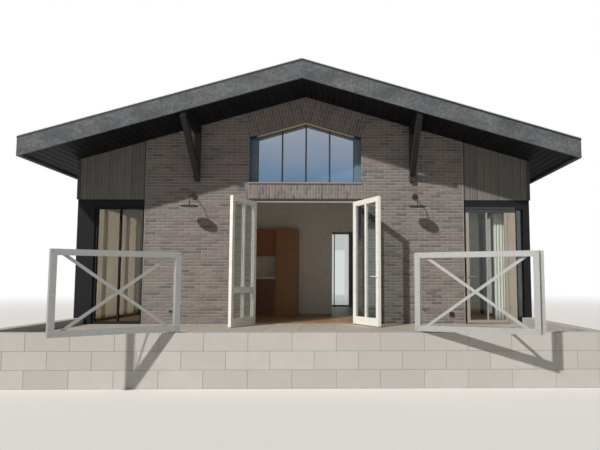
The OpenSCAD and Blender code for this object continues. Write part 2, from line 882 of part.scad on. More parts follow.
// A tube out of a wall rosette that bends down into a thin flat shade
module wall_lamps() {
    color(black) both_sides() on_floor(lamp_x) {
        translate([0, 0, rosette_h]) rotate([90, 0, 0]) {
            cylinder(h = rosette_t, d = rosette_d, $fn = 48);
            cylinder(h = lamp_out - bend_r, d = tube_d, $fn = 32);
        }
        translate([0, -lamp_out + bend_r, rosette_h - bend_r]) rotate([90, 0, -90])
            rotate_extrude(angle = 90, $fn = 64) translate([bend_r, 0]) circle(d = tube_d, $fn = 32);
        translate([0, -lamp_out, lamp_h])
            cylinder(h = rosette_h - bend_r - lamp_h, d = tube_d, $fn = 32);
        translate([0, -lamp_out, lamp_h - shade_t]) cylinder(h = shade_t, d = shade_d, $fn = 64);
    }
}

rail_y = side_front + rail_out;
curtain_x1 = inner_x - curtain_end;

// A round rail behind the right beam, on three small brackets
module curtain_rail() {
    rail_x0 = brick_x + jamb_w;
    rail_l = curtain_x1 + rail_out - rail_x0;
    color(galvanised) on_floor(rail_x0, rail_y, rail_z) {
        rotate([0, 90, 0]) cylinder(h = rail_l, d = rail_d, $fn = 32);
        for (x = [rail_l / 6, rail_l / 2, rail_l * 5 / 6])
            block_between([x - rail_bracket_w / 2, -rail_out, -rail_bracket_w / 2],
                [x + rail_bracket_w / 2, 0, rail_bracket_w / 2]);
    }
}

// The drawn curtain hangs under its rail
module right_curtain() {
    color(white) on_floor() block_between(
        [curtain_x1 - curtain_w, rail_y - curtain_t / 2, curtain_lift],
        [curtain_x1, rail_y + curtain_t / 2, rail_z - rail_d / 2 - seat_gap]);
}

// The cross wall stands under the ceiling and has one doorway
module cross_wall() {
    color(white) on_floor(0, cross_wall_y) difference() {
        upright([
            [-inner_x, 0], [inner_x, 0], [inner_x, soffit_z(inner_x)],
            [0, apex_h], [-inner_x, soffit_z(inner_x)]
        ], cross_wall_t);
        block_between([inner_door_x, -eps, -eps],
            [inner_door_x + inner_door_w, cross_wall_t + eps, inner_door_h]);
    }
}

module tall_cabinet() {
    color(oak) on_floor() block_between([cabinet_x0, cross_wall_y - cabinet_d, 0],
        [cabinet_x1, cross_wall_y, cabinet_h]);
}

module base_cabinet() {
    color(oak) on_floor() {
        block_between([worktop_x0, cross_wall_y - cabinet_d + worktop_lip, 0],
            [cabinet_x0, cross_wall_y, worktop_h - worktop_t]);
        block_between([worktop_x0, cross_wall_y - cabinet_d, worktop_h - worktop_t],
            [cabinet_x0, cross_wall_y, worktop_h]);
    }
}

module wall_cupboard() {
    color(oak) on_floor() block_between([worktop_x0, cross_wall_y - cupboard_d, cupboard_z],
        [cabinet_x0, cross_wall_y, cabinet_h]);
}

gate_z0 = floor_z + upstand + gate_lift;
gate_left_x = gate_mid_x - gate_span / 2;
gate_right_x = gate_mid_x + gate_span / 2;

// Fixed posts that the hinge tubes of the gates turn on, each with a foot plate and a collar
module gate_pivots() {
    color(galvanised) for (x = [gate_left_x, gate_right_x])
        on_ground(x, gate_axis_y, floor_z + upstand) {
            translate([-gate_tube / 2, -gate_tube / 2, 0])
                cube([gate_tube, gate_tube, foot_plate_t]);
            cylinder(h = gate_lift - barrel_gap, d = gate_collar_d, $fn = 48);
            cylinder(h = gate_lift + gate_h - gate_post_drop, d = gate_post_d, $fn = 48);
        }
}

// One leaf along +X from its hinge axis: square tubes and two flat braces between the rails
module gate_leaf() {
    half = gate_tube / 2;
    inner = gate_tube - 2 * gate_tube_wall;
    leaf_l = gate_reach + half;
    clear_w = leaf_l - 2 * gate_tube;
    clear_h = gate_h - 2 * gate_tube;
    brace_run = clear_w - 2 * brace_inset;
    foot = brace_w / sin(atan2(clear_h, brace_run)) / 2;
    z0 = -gate_tube_wall;
    z1 = clear_h + gate_tube_wall;
    x1 = brace_run * (z1 / clear_h - 0.5);
    difference() {
        translate([-half, -half, 0]) cube([leaf_l, gate_tube, gate_h]);
        translate([half, -half - eps, gate_tube])
            cube([clear_w, gate_tube + 2 * eps, clear_h]);
        translate([-inner / 2, -inner / 2, -eps]) cube([inner, inner, gate_h - gate_tube_wall]);
    }
    for (s = [-1, 1])
        translate([half + clear_w / 2, (s + 1) * brace_t / 2, gate_tube]) rotate([90, 0, 0])
            linear_extrude(brace_t) polygon([
                [-s * x1 - foot, z0], [-s * x1 + foot, z0], [s * x1 + foot, z1], [s * x1 - foot, z1]
            ]);
}

module left_gate() {
    color(galvanised) on_ground(gate_left_x, gate_axis_y, gate_z0)
        rotate([0, 0, 180 + left_gate_angle]) gate_leaf();
}

// The right leaf carries a flat strip that fills the space towards the left leaf
module right_gate() {
    color(galvanised) on_ground(gate_right_x, gate_axis_y, gate_z0)
        rotate([0, 0, -right_gate_angle]) {
            gate_leaf();
            translate([gate_reach - eps, gate_tube / 2 - stop_strip_t, 0])
                cube([stop_strip_w + eps, stop_strip_t, gate_h]);
        }
}

terrace_front_wall();
terrace_side_walls();
terrace_deck();
house_plinth();
floor_slab();
front_wall_left();
front_wall_right();
front_wall_over_door();
front_wall_over_window();
wing_gables();
wing_beams();
corner_panels();
wing_glass();
left_bay_frame();
right_door_frame();
right_door_leaf();
side_leaf_glass();
left_side_wall();
right_side_wall();
side_window_frames();
side_window_glass();
back_wall();
back_wings();
back_window_frame();
back_window_glass();
soffit();
left_roof_slope();
right_roof_slope();
ridge_cap();
front_bargeboards();
back_bargeboards();
eaves_boards();
roof_edge_trim();
purlins();
roof_brackets();
gable_window_frame();
gable_window_glass();
gable_window_lining();
french_door_frame();
left_french_leaf();
left_leaf_glass();
right_french_leaf();
right_leaf_glass();
wall_lamps();
curtain_rail();
right_curtain();
cross_wall();
tall_cabinet();
base_cabinet();
wall_cupboard();
gate_pivots();
left_gate();
right_gate();
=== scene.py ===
# %% [markdown]
# # A brick and timber beach house
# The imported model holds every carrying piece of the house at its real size. This lesson dresses
# it: bricks on the walls, blocks on the terrace, boards, seams, beads, cloth and paint. The
# frame is loaded first, because everything below takes its place from it.

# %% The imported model
import json
import math
import random

import bpy
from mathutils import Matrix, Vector


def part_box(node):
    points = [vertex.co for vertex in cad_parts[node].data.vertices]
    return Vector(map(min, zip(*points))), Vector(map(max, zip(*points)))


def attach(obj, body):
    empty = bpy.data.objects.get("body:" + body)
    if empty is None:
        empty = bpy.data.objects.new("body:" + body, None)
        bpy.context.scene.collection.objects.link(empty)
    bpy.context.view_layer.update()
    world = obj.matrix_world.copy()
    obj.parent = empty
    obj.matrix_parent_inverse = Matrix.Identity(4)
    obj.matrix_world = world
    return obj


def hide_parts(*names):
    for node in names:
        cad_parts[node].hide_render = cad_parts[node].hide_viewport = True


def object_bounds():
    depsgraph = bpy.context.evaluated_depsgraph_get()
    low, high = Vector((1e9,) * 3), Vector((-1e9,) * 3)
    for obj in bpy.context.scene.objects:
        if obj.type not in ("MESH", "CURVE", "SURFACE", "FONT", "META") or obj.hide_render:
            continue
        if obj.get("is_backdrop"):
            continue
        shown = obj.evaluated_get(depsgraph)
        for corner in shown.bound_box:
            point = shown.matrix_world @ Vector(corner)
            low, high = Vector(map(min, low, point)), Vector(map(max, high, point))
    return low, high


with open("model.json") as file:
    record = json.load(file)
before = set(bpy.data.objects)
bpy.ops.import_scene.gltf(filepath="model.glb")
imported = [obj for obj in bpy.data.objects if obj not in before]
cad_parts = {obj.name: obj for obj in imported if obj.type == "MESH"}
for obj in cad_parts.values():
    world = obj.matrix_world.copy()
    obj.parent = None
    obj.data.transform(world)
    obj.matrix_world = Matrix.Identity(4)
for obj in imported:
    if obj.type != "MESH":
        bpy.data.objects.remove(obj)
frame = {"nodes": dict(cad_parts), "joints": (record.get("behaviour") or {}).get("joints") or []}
cad_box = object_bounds()

# %% [markdown]
# ## The lines of the house
# Walls, floor and roof share a few lines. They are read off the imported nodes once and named, so
# that a brick or a board finds its place by the name of the line it keeps to.

# %% Lines of the house
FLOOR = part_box("floor_slab")[1].z
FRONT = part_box("front_wall_left")[0].y
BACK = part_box("back_wall")[1].y
MIDDLE_Y = (FRONT + BACK) / 2
WALL_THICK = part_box("front_wall_left")[1].y - FRONT
BRICK_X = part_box("front_wall_right")[1].x
HOUSE_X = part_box("right_side_wall")[1].x
ROOF_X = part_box("soffit")[1].x
ROOF_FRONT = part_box("soffit")[0].y
ROOF_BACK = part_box("soffit")[1].y
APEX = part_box("front_wall_over_window")[1].z
SLOPE = (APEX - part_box("soffit")[0].z) / ROOF_X
PITCH = math.atan(SLOPE)
DOOR_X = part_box("front_wall_over_door")[1].x
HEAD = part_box("front_wall_over_door")[0].z
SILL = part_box("front_wall_over_door")[1].z
WINDOW_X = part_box("gable_window_frame")[1].x
WINDOW_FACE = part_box("gable_window_frame")[0].y
WINDOW_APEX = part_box("gable_window_frame")[1].z
WINDOW_SIDE = WINDOW_APEX - SLOPE * WINDOW_X
WING_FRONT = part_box("wing_gables")[0].y
CROSS_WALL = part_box("cross_wall")[0].y


def under_roof(x):
    """Height of the underside of the roof over the ground."""
    return APEX - SLOPE * abs(x)


print("roof slope", round(math.degrees(PITCH), 2), "front wall face", round(FRONT, 4))

# %% [markdown]
# ## Picking things up
# An operator acts on all that is selected, and loading leaves the whole house selected. So each
# step first lets go of everything and picks what it works on, as a hand would. In edit mode the
# edges are picked by a small test on their middle and direction.

# %% Picking
def pick(*pieces):
    """Selects these pieces and nothing else, the first one active."""
    if bpy.context.mode != "OBJECT":
        bpy.ops.object.mode_set(mode="OBJECT")
    bpy.ops.object.select_all(action="DESELECT")
    for piece in pieces:
        piece.select_set(True)
    if pieces:
        bpy.context.view_layer.objects.active = pieces[0]


def open_with(piece, edges=None):
    """Goes into edit mode with the edges picked that pass the test, or with everything."""
    pick(piece)
    mesh = piece.data
    for part in (mesh.vertices, mesh.edges, mesh.polygons):
        part.foreach_set("select", [False] * len(part))
    if edges:
        for edge in mesh.edges:
            a, b = (mesh.vertices[i].co for i in edge.vertices)
            edge.select = bool(edges((a + b) / 2, (b - a).normalized()))
    bpy.context.tool_settings.mesh_select_mode = (False, bool(edges), not edges)
    bpy.ops.object.mode_set(mode="EDIT")
    if not edges:
        bpy.ops.mesh.select_all(action="SELECT")


def close():
    bpy.ops.object.mode_set(mode="OBJECT")


def settle(piece):
    """Puts a piece's place, turn and scale into its mesh."""
    pick(piece)
    bpy.ops.object.transform_apply(location=True, rotation=True, scale=True)
    return piece


def name_it(piece, name):
    piece.name = name
    piece.data.name = name
    return piece


def block(name, low, high):
    """A box between two opposite corners, the start of many pieces."""
    low, high = Vector(low), Vector(high)
    pick()
    bpy.ops.mesh.primitive_cube_add(size=1, location=(low + high) / 2)
    piece = name_it(bpy.context.object, name)
    piece.scale = high - low
    return settle(piece)


def rod(name, start, end, radius, sides=16):
    """A round bar between two points."""
    start, end = Vector(start), Vector(end)
    pick()
    bpy.ops.mesh.primitive_cylinder_add(
        vertices=sides, radius=radius, depth=(end - start).length, location=(start + end) / 2)
    piece = name_it(bpy.context.object, name)
    piece.rotation_euler = (end - start).to_track_quat("Z", "Y").to_euler()
    return settle(piece)


def torus(name, place, radius, wire, rotation=(0, 0, 0), around=24, across=8):
    """A ring of round wire."""
    pick()
    bpy.ops.mesh.primitive_torus_add(
        major_radius=radius, minor_radius=wire, major_segments=around, minor_segments=across,
        location=place, rotation=rotation)
    return settle(name_it(bpy.context.object, name))


print("picking tools ready")

# %% [markdown]
# ## Shaping and repeating
# A bevel takes the knife edge off a block, an array repeats it in a row, a bisect cuts a whole
# field of bricks along the slope of the roof, and join makes one piece of many small ones.

# %% Shaping and repeating
def ease(piece, width=0.002, edges=None, segments=1):
    """Bevels the edges that pass the test, or all of them, two millimetres wide if not told."""
    open_with(piece, edges=edges or (lambda middle, way: True))
    bpy.ops.mesh.bevel(offset=width, segments=segments, affect="EDGES")
    close()
    return piece


def modified(piece, kind, **settings):
    """Gives a piece a modifier and applies it."""
    modifier = piece.modifiers.new("shape", kind)
    for key, value in settings.items():
        setattr(modifier, key, value)
    pick(piece)
    bpy.ops.object.modifier_apply(modifier=modifier.name)
    return piece


def row(piece, count, step):
    """Repeats a piece along a step."""
    if count > 1:
        modified(piece, "ARRAY", use_relative_offset=False, use_constant_offset=True,
                 constant_offset_displace=step, count=count)
    return piece


def copy_of(piece, name, shift=(0, 0, 0)):
    """A copy with a mesh of its own, moved by a shift."""
    pick(piece)
    bpy.ops.object.duplicate(linked=False)
    twin = name_it(bpy.context.object, name)
    twin.location = shift
    return settle(twin)


def moved(piece, shift):
    piece.location = shift
    return settle(piece)


def turned(piece, axis, angle, centre=(0, 0, 0)):
    """Turns a piece round an axis through a centre."""
    moved(piece, -Vector(centre))
    piece.rotation_euler = [angle if a == axis else 0 for a in "XYZ"]
    settle(piece)
    return moved(piece, centre)


def other_side(piece, name):
    """A copy on the other side of the middle of the house, its faces pointing outwards."""
    twin = copy_of(piece, name)
    twin.scale = (-1, 1, 1)
    settle(twin)
    open_with(twin)
    bpy.ops.mesh.flip_normals()
    close()
    return twin


def cut_off(piece, place, away, fill=False):
    """Cuts a piece by a plane and drops what lies on the side that away points to."""
    if not piece.data.polygons:
        return piece
    open_with(piece)
    bpy.ops.mesh.bisect(plane_co=place, plane_no=away, use_fill=fill, clear_outer=True)
    close()
    return piece


def joined(name, pieces):
    pieces = [p for p in pieces if p.data.polygons]
    pick(*pieces)
    if len(pieces) > 1:
        bpy.ops.object.join()
    return name_it(pieces[0], name)


def on_both_sides(name, *pieces):
    """One piece made of the given ones and their copies on the other side."""
    return joined(name, [*pieces, *(other_side(piece, name + "_left") for piece in pieces)])


def throw_away(*pieces):
    pick(*pieces)
    bpy.ops.object.delete()


print("shaping tools ready")

# %% [markdown]
# ## Handing a piece over
# Each finished piece rides on a body of the imported model, takes a finish, and may stand for
# imported nodes that it replaces.

# %% Handing over
def hand_over(piece, material, body="house", stands_for=()):
    piece.data.materials.clear()
    piece.data.materials.append(material)
    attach(piece, body)
    if stands_for:
        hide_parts(*stands_for)
    piece.data.calc_loop_triangles()
    print(f"{piece.name}: {len(piece.data.loop_triangles)} triangles")
    return piece


def dress(material, *nodes):
    """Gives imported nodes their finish. Their meshes are left as they are."""
    for node in nodes:
        piece = frame["nodes"][node]
        for place in piece.material_slots:
            place.material = material


print("hand-over ready")

# %% [markdown]
# ## Mixing finishes
# A finish is a small tree of nodes. A few helpers keep the trees short: one adds a node and fills
# its sockets, with a number or with the output of another node, and the others make the nodes
# that come back often. Every pattern reads the object's own place in metres, so that it has its
# true scale on each piece.

# %% Helpers for finishes
MIX_A, MIX_B, MIX_OUT = 6, 7, 2
RIGHT, INWARD, UP = (1, 0, 0), (0, 1, 0), (0, 0, 1)


def srgb(text):
    """A colour as it is seen, such as 8d8179, turned to the light values that a shader takes."""
    parts = [int(text[i:i + 2], 16) / 255 for i in (0, 2, 4)]
    return [c / 12.92 if c < 0.04045 else ((c + 0.055) / 1.055) ** 2.4 for c in parts] + [1]


def add(tree, kind, sockets=(), **settings):
    """A new node. A socket takes a value, a colour as text, or the output of another node."""
    made = tree.nodes.new("ShaderNode" + kind)
    for key, value in settings.items():
        setattr(made, key, value)
    for key, value in dict(sockets).items():
        if isinstance(value, bpy.types.NodeSocket):
            tree.links.new(value, made.inputs[key])
        else:
            made.inputs[key].default_value = srgb(value) if isinstance(value, str) else value
    return made


def mixed(tree, share, a, b):
    """Colour a turned into colour b by a share."""
    sockets = {0: share, MIX_A: a, MIX_B: b}
    return add(tree, "Mix", sockets, data_type="RGBA").outputs[MIX_OUT]


def calc(tree, how, a, b=0.0, **settings):
    """One step of arithmetic."""
    return add(tree, "Math", {0: a, 1: b}, operation=how, **settings).outputs[0]


def ranged(tree, value, low, high, to_low=0.0, to_high=1.0, **settings):
    """A value between low and high stretched to other ends."""
    sockets = {"Value": value, "From Min": low, "From Max": high, "To Min": to_low,
               "To Max": to_high}
    return add(tree, "MapRange", sockets, **settings).outputs["Result"]


def new_finish(name, rough=0.6, metal=0.0, specular=0.5):
    """A material, its tree and its shader."""
    material = bpy.data.materials.new(name)
    material.use_nodes = True
    shader = material.node_tree.nodes["Principled BSDF"]
    shader.inputs["Roughness"].default_value = rough
    shader.inputs["Metallic"].default_value = metal
    shader.inputs["Specular IOR Level"].default_value = specular
    return material, material.node_tree, shader


def spot(tree, stretch=(1, 1, 1)):
    """The place on the piece in metres, stretched per axis."""
    place = add(tree, "TexCoord").outputs["Object"]
    return add(tree, "Mapping", {"Vector": place, "Scale": stretch}).outputs[0]


def measured(tree, way):
    """How far a place lies along a direction."""
    return add(tree, "VectorMath", {0: spot(tree), 1: way}, operation="DOT_PRODUCT").outputs[1]


def off_plane(tree, way, middle=0.0):
    """How far a place lies to either side of a plane across a direction."""
    return calc(tree, "ABSOLUTE", calc(tree, "SUBTRACT", measured(tree, way), middle))


def own_tone(tree):
    """The tone that each brick or board holds on its faces."""
    return add(tree, "Attribute", attribute_name="tone").outputs["Fac"]


def cloud(tree, size, stretch=(1, 1, 1), detail=4.0, rough=0.55):
    """Soft noise whose patches are about size metres across."""
    sockets = {"Vector": spot(tree, stretch), "Scale": 1 / size, "Detail": detail,
               "Roughness": rough}
    return add(tree, "TexNoise", sockets).outputs["Fac"]


def relief(tree, shader, height, depth):
    """Bump of a given depth in metres."""
    bump = add(tree, "Bump", {"Height": height, "Distance": depth, "Strength": 1.0})
    tree.links.new(bump.outputs[0], shader.inputs["Normal"])


def coloured(tree, shader, colour):
    tree.links.new(colour, shader.inputs["Base Color"])


def blended(tree, share, one, other):
    """Two shaders blended by a share and put on the surface."""
    both = add(tree, "MixShader", {0: share, 1: one.outputs[0], 2: other.outputs[0]})
    tree.links.new(both.outputs[0], tree.nodes["Material Output"].inputs["Surface"])


print("finish helpers ready")

# %% [markdown]
# ## Camera, light and floor
# The camera stands where the photographer stood: twelve metres before the brick face, a little
# right of the middle and low, looking slightly up. The light is one clear sun from the front
# left, with a faint sky. The sky is white only to the camera, in mirrors and through glass.

# %% Camera
PHOTO_FOCAL = 608
PHOTO_W = 600
LENS_CENTRE_X = 350
CAMERA_BACK = 11.786
CAMERA_RIGHT = 0.657
CAMERA_UP = 0.815
CAMERA_SIGHT = 400
YAW = 0.0187
RISE = 0.0923

pick()
bpy.ops.object.camera_add(
    location=(CAMERA_RIGHT, FRONT - CAMERA_BACK, FLOOR + CAMERA_UP),
    rotation=(math.pi / 2 + RISE, 0, -YAW))
camera = bpy.context.object
camera.data.sensor_width = 36
camera.data.lens = camera.data.sensor_width * PHOTO_FOCAL / PHOTO_W
camera.data.shift_x = (PHOTO_W / 2 - LENS_CENTRE_X) / PHOTO_W
camera.data.clip_end = CAMERA_SIGHT
bpy.context.scene.camera = camera
bpy.context.scene.view_settings.view_transform = "Standard"
print("lens", round(camera.data.lens, 2), "mm, shift", round(camera.data.shift_x, 4))

# %% Sun and sky
SUN_WAY = Vector((0.485, 0.70, -0.595))
SUN_STRENGTH = 3.6
SUN_SOFTNESS = math.radians(1.6)
SUN_COLOUR = (1.0, 0.965, 0.92)
SKY_STRENGTH = 0.22
SKY_COLOUR = (0.90, 0.95, 1.0, 1)

bpy.ops.object.light_add(type="SUN", rotation=SUN_WAY.to_track_quat("-Z", "Y").to_euler())
sun = bpy.context.object
sun.data.energy = SUN_STRENGTH
sun.data.angle = SUN_SOFTNESS
sun.data.color = SUN_COLOUR


def seen_directly(tree):
    """1 for camera rays, mirror rays and rays through glass, else 0."""
    path = add(tree, "LightPath")
    total = path.outputs["Is Camera Ray"]
    for ray in ("Is Glossy Ray", "Is Transmission Ray"):
        total = calc(tree, "MAXIMUM", total, path.outputs[ray])
    return total


sky = bpy.data.worlds.new("sky")
bpy.context.scene.world = sky
sky.use_nodes = True
tree = sky.node_tree
tree.nodes.clear()
soft = add(tree, "Background", {"Color": SKY_COLOUR, "Strength": SKY_STRENGTH}).outputs[0]
white = add(tree, "Background", {"Color": (1, 1, 1, 1), "Strength": 1}).outputs[0]
either = add(tree, "MixShader", {0: seen_directly(tree), 1: soft, 2: white}).outputs[0]
add(tree, "OutputWorld", {"Surface": either})
print("sun", SUN_STRENGTH, "sky", SKY_STRENGTH)

# %% [markdown]
# The floor is a round disc of pale plaster colour that turns to the white of the sky far from
# the house, so that no hard edge stands behind it.

# %% Floor
FLOOR_REACH = 120
FLOOR_COLOUR = (0.80, 0.785, 0.76, 1)
FADE_FROM = 14
FADE_TO = 60

pick()
bpy.ops.mesh.primitive_circle_add(vertices=96, radius=FLOOR_REACH, fill_type="TRIFAN")
stage_floor = name_it(bpy.context.object, "stage_floor")
pale_floor, tree, shader = new_finish("pale_floor", rough=0.9)
shader.inputs["Base Color"].default_value = FLOOR_COLOUR
far = add(tree, "VectorMath", {0: spot(tree)}, operation="LENGTH").outputs["Value"]
fade = ranged(tree, far, FADE_FROM, FADE_TO, interpolation_type="SMOOTHSTEP")
blended(tree, calc(tree, "MULTIPLY", fade, seen_directly(tree)), shader, add(tree, "Emission"))
stage_floor.data.materials.append(pale_floor)
stage_floor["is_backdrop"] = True
print("floor disc", FLOOR_REACH, "m")

# %% [markdown]
# ## Brick, mortar and blocks
# The bricks are grey-brown and rough, and each has a tone of its own, stored on its faces. A few
# are red-brown. The carrying wall behind them is the mortar outside and plaster inside, told
# apart by how deep a place lies in the wall.

# %% Brick
BRICK_DARK = srgb("625c5a")
BRICK_MID = srgb("7a726f")
BRICK_LIGHT = srgb("87807c")
BRICK_RED = srgb("7c6c66")

brick_finish, tree, shader = new_finish("grey_brown_brick", rough=0.9)
ramp = add(tree, "ValToRGB", {"Fac": own_tone(tree)})
stops = ramp.color_ramp.elements
stops[0].color = BRICK_DARK
stops[1].color = BRICK_RED
for at, colour in ((0.3, BRICK_MID), (0.9, BRICK_LIGHT), (0.985, BRICK_MID), (0.995, BRICK_RED)):
    stops.new(at).color = colour
shade = ramp.outputs["Color"]
patch = ranged(tree, cloud(tree, 0.05, (1, 1, 2.5), 5.0, 0.7), 0.32, 0.7)
coloured(tree, shader, mixed(tree, patch, mixed(tree, 0.6, BRICK_DARK, shade), shade))
relief(tree, shader, cloud(tree, 0.014, (1, 1, 1.6), 6.0, 0.75), 0.005)

# %% Mortar outside, plaster inside
MORTAR_DEPTH = 0.06

wall_finish, tree, shader = new_finish("mortar_and_plaster", rough=0.92)
sand = cloud(tree, 0.006, detail=6.0, rough=0.7)
mortar = mixed(tree, sand, "9b948e", "b8b1aa")
plaster = mixed(tree, cloud(tree, 0.5), "dedad2", "e6e2da")
facing_out = calc(tree, "GREATER_THAN", off_plane(tree, INWARD, MIDDLE_Y),
                  BACK - MIDDLE_Y - MORTAR_DEPTH)
coloured(tree, shader, mixed(tree, facing_out, plaster, mortar))
relief(tree, shader, sand, 0.0015)

# %% Concrete blocks, their joints and paving
block_finish, tree, shader = new_finish("pale_block", rough=0.88)
base = mixed(tree, own_tone(tree), "aaa6a2", "b6b2ae")
worn = ranged(tree, cloud(tree, 0.22, detail=6.0, rough=0.65), 0.35, 0.72)
coloured(tree, shader, mixed(tree, worn, base, mixed(tree, 0.35, base, "a19d97")))
relief(tree, shader, cloud(tree, 0.004, detail=3.0), 0.0012)

joint_finish, tree, shader = new_finish("block_joint", rough=0.95)
coloured(tree, shader, mixed(tree, cloud(tree, 0.01), "8b857c", "9d978e"))
relief(tree, shader, cloud(tree, 0.005), 0.001)

paving_finish, tree, shader = new_finish("terrace_paving", rough=0.8)
worn = ranged(tree, cloud(tree, 0.3, detail=7.0), 0.3, 0.7)
base = mixed(tree, own_tone(tree), "a8a296", "bab4a8")
coloured(tree, shader, mixed(tree, worn, base, "a29c90"))
relief(tree, shader, cloud(tree, 0.006, detail=5.0), 0.0012)

# %% [markdown]
# ## Wood
# Grain is noise drawn out along the board. On an upright board it runs along Z, on the roof
# boards along Y. Each board has its own tone too. Rough wood shines less than lacquered wood.

# %% Wood finishes
GRAIN_DRAWN = 0.045
DULL = 0.2


def grain_along(tree, axis, coarse=0.012):
    """Noise drawn out along one axis."""
    stretch = [GRAIN_DRAWN if letter == axis else 1 for letter in "XYZ"]
    return cloud(tree, coarse, stretch, 6.0, 0.65)


def wood(name, dark, light, along, rough, coarse=0.012):
    """Boards with grain along one axis and a tone for each board."""
    material, tree, shader = new_finish(name, rough, specular=DULL if rough > 0.5 else 0.5)
    grain = grain_along(tree, along, coarse)
    board = mixed(tree, 0.5, mixed(tree, 0.5, dark, light),
                  mixed(tree, own_tone(tree), dark, light))
    fibre = ranged(tree, grain, 0.3, 0.72)
    coloured(tree, shader, mixed(tree, 0.55, board, mixed(tree, fibre, dark, light)))
    relief(tree, shader, grain, 0.0008)
    return material


cladding_finish = wood("weathered_boards", "4f4e4b", "7d7a74", "Z", 0.75)
# Pale strips at the board joints: painted highlights where the sun would catch the arrises.
arris_highlight_finish = wood("painted_arris_highlight", "85827c", "a29e96", "Z", 0.75)
bracket_finish = wood("weathered_bracket", "242323", "4a4644", "Z", 0.7)
charcoal_finish = wood("charcoal_boards", "3a3b3d", "5a5b5c", "Z", 0.7)
timber_finish = wood("black_timber", "101012", "1f1f22", "Z", 0.75)
flashing_finish = wood("corner_boards", "3a3a3a", "555452", "Z", 0.6)
oak_floor_finish = wood("oak_floor", "8a6544", "b08c64", "Y", 0.45, 0.02)
cabinet_finish = wood("brown_cabinet", "8f643c", "b98a58", "Z", 0.45)
cupboard_finish = wood("red_brown_cupboard", "945a37", "b87c4c", "X", 0.45)
worktop_finish = wood("pale_worktop", "d8d0c2", "ebe4d7", "X", 0.4)
drawer_finish = wood("dark_drawers", "6b4a38", "8a624b", "X", 0.4)

# %% Soffit boards, black outside and painted inside
WALL_INSIDE = 0.1

soffit_finish, tree, shader = new_finish("soffit_boards", rough=0.6, specular=DULL)
grain = grain_along(tree, "Y")
black = mixed(tree, mixed(tree, 0.5, own_tone(tree), grain), "08080a", "141416")
rooms = 1.0
for way, middle, half in ((RIGHT, 0.0, HOUSE_X), (INWARD, MIDDLE_Y, BACK - MIDDLE_Y)):
    near = calc(tree, "LESS_THAN", off_plane(tree, way, middle), half - WALL_INSIDE)
    rooms = calc(tree, "MULTIPLY", near, rooms)
coloured(tree, shader, mixed(tree, rooms, black, "d9d5cd"))
relief(tree, shader, grain, 0.0008)

# %% Lining of the gable window: pale wood near the glass, painted shade towards the front
LIGHT_DEPTH = 0.17
PANEL_W = 0.145

lining_finish, tree, shader = new_finish("window_lining", rough=0.6)
grain = grain_along(tree, "X")
light_wood = mixed(tree, grain, "c2a684", "e0c9a8")
deep_in = calc(tree, "GREATER_THAN", measured(tree, INWARD), WINDOW_FACE - LIGHT_DEPTH)
between = calc(tree, "LESS_THAN", off_plane(tree, RIGHT), WINDOW_X - PANEL_W)
lit_part = calc(tree, "MULTIPLY", deep_in, between)
# Outside the pale part the lining is 3a3634: painted shade, a shadow gap along the front of the
# window head.
coloured(tree, shader, mixed(tree, lit_part, "3a3634", light_wood))
relief(tree, shader, grain, 0.0006)

# %% [markdown]
# ## Paint, metal, glass and cloth
# Paint has a faint unevenness and shows its brush or roller in the bump. Galvanised steel has a
# spangle of flat patches. The bargeboard is weathered: light blotches over dark ones.

# %% Paint
def paint(name, colour, shade, rough=0.4, patch=0.12, metal=0.0):
    """A painted or coated skin with a little unevenness."""
    material, tree, shader = new_finish(name, rough, metal)
    worn = ranged(tree, cloud(tree, patch, detail=5.0), 0.35, 0.7)
    coloured(tree, shader, mixed(tree, worn, colour, shade))
    relief(tree, shader, cloud(tree, 0.004, detail=3.0), 0.0002)
    return material


white_paint = paint("white_paint", "efece6", "e2ded7", 0.35)
greige_paint = paint("greige_paint", "8d857a", "81796f", 0.42)
edge_paint = paint("edge_paint", "8d8883", "7c7772", 0.6)
# Panels: a dark blue-grey standing for sky-lit shade, painted shade over a greige paint.
panel_paint = paint("panels_painted_sky_shade", "5c7080", "506474", 0.4)
black_metal = paint("black_metal", "17181a", "222326", 0.35)
# Gable window frame: near-black, painted shade over a greige frame.
window_metal = paint("window_metal", "1f2326", "2b3034", 0.32)
roof_finish = paint("roof_sheet", "3b3d40", "4a4c4f", 0.45, 0.6, 0.3)
chrome_finish = paint("satin_steel", "b9bbbd", "a9abad", 0.25, metal=0.9)
weld_finish = paint("weld_seam", "8f918f", "7d7f7d", 0.5, 0.03, 0.4)

# %% Roof edge, pale along its top and dark below
EDGE_PALE = 0.014

edge_finish, tree, shader = new_finish("edge_metal", rough=0.5, metal=0.3)
out = calc(tree, "MULTIPLY", off_plane(tree, RIGHT), math.sin(PITCH))
up = calc(tree, "MULTIPLY", measured(tree, UP), math.cos(PITCH))
pale_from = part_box("roof_edge_trim")[1].z * math.cos(PITCH) - EDGE_PALE
pale = calc(tree, "GREATER_THAN", calc(tree, "ADD", out, up), pale_from)
coloured(tree, shader, mixed(tree, pale, "17181a", "b2b6b9"))

# %% Weathered bargeboards
barge_finish, tree, shader = new_finish("weathered_bargeboard", rough=0.7, specular=0.25)
broad = ranged(tree, cloud(tree, 0.5, (1, 1, 1.4), 6.0, 0.7), 0.38, 0.66)
small = ranged(tree, cloud(tree, 0.05, detail=8.0, rough=0.85), 0.42, 0.62)
grey = mixed(tree, broad, "52565a", "74787b")
coloured(tree, shader, mixed(tree, small, mixed(tree, 0.6, grey, "2c2f33"), grey))
relief(tree, shader, cloud(tree, 0.012, detail=7.0, rough=0.75), 0.003)

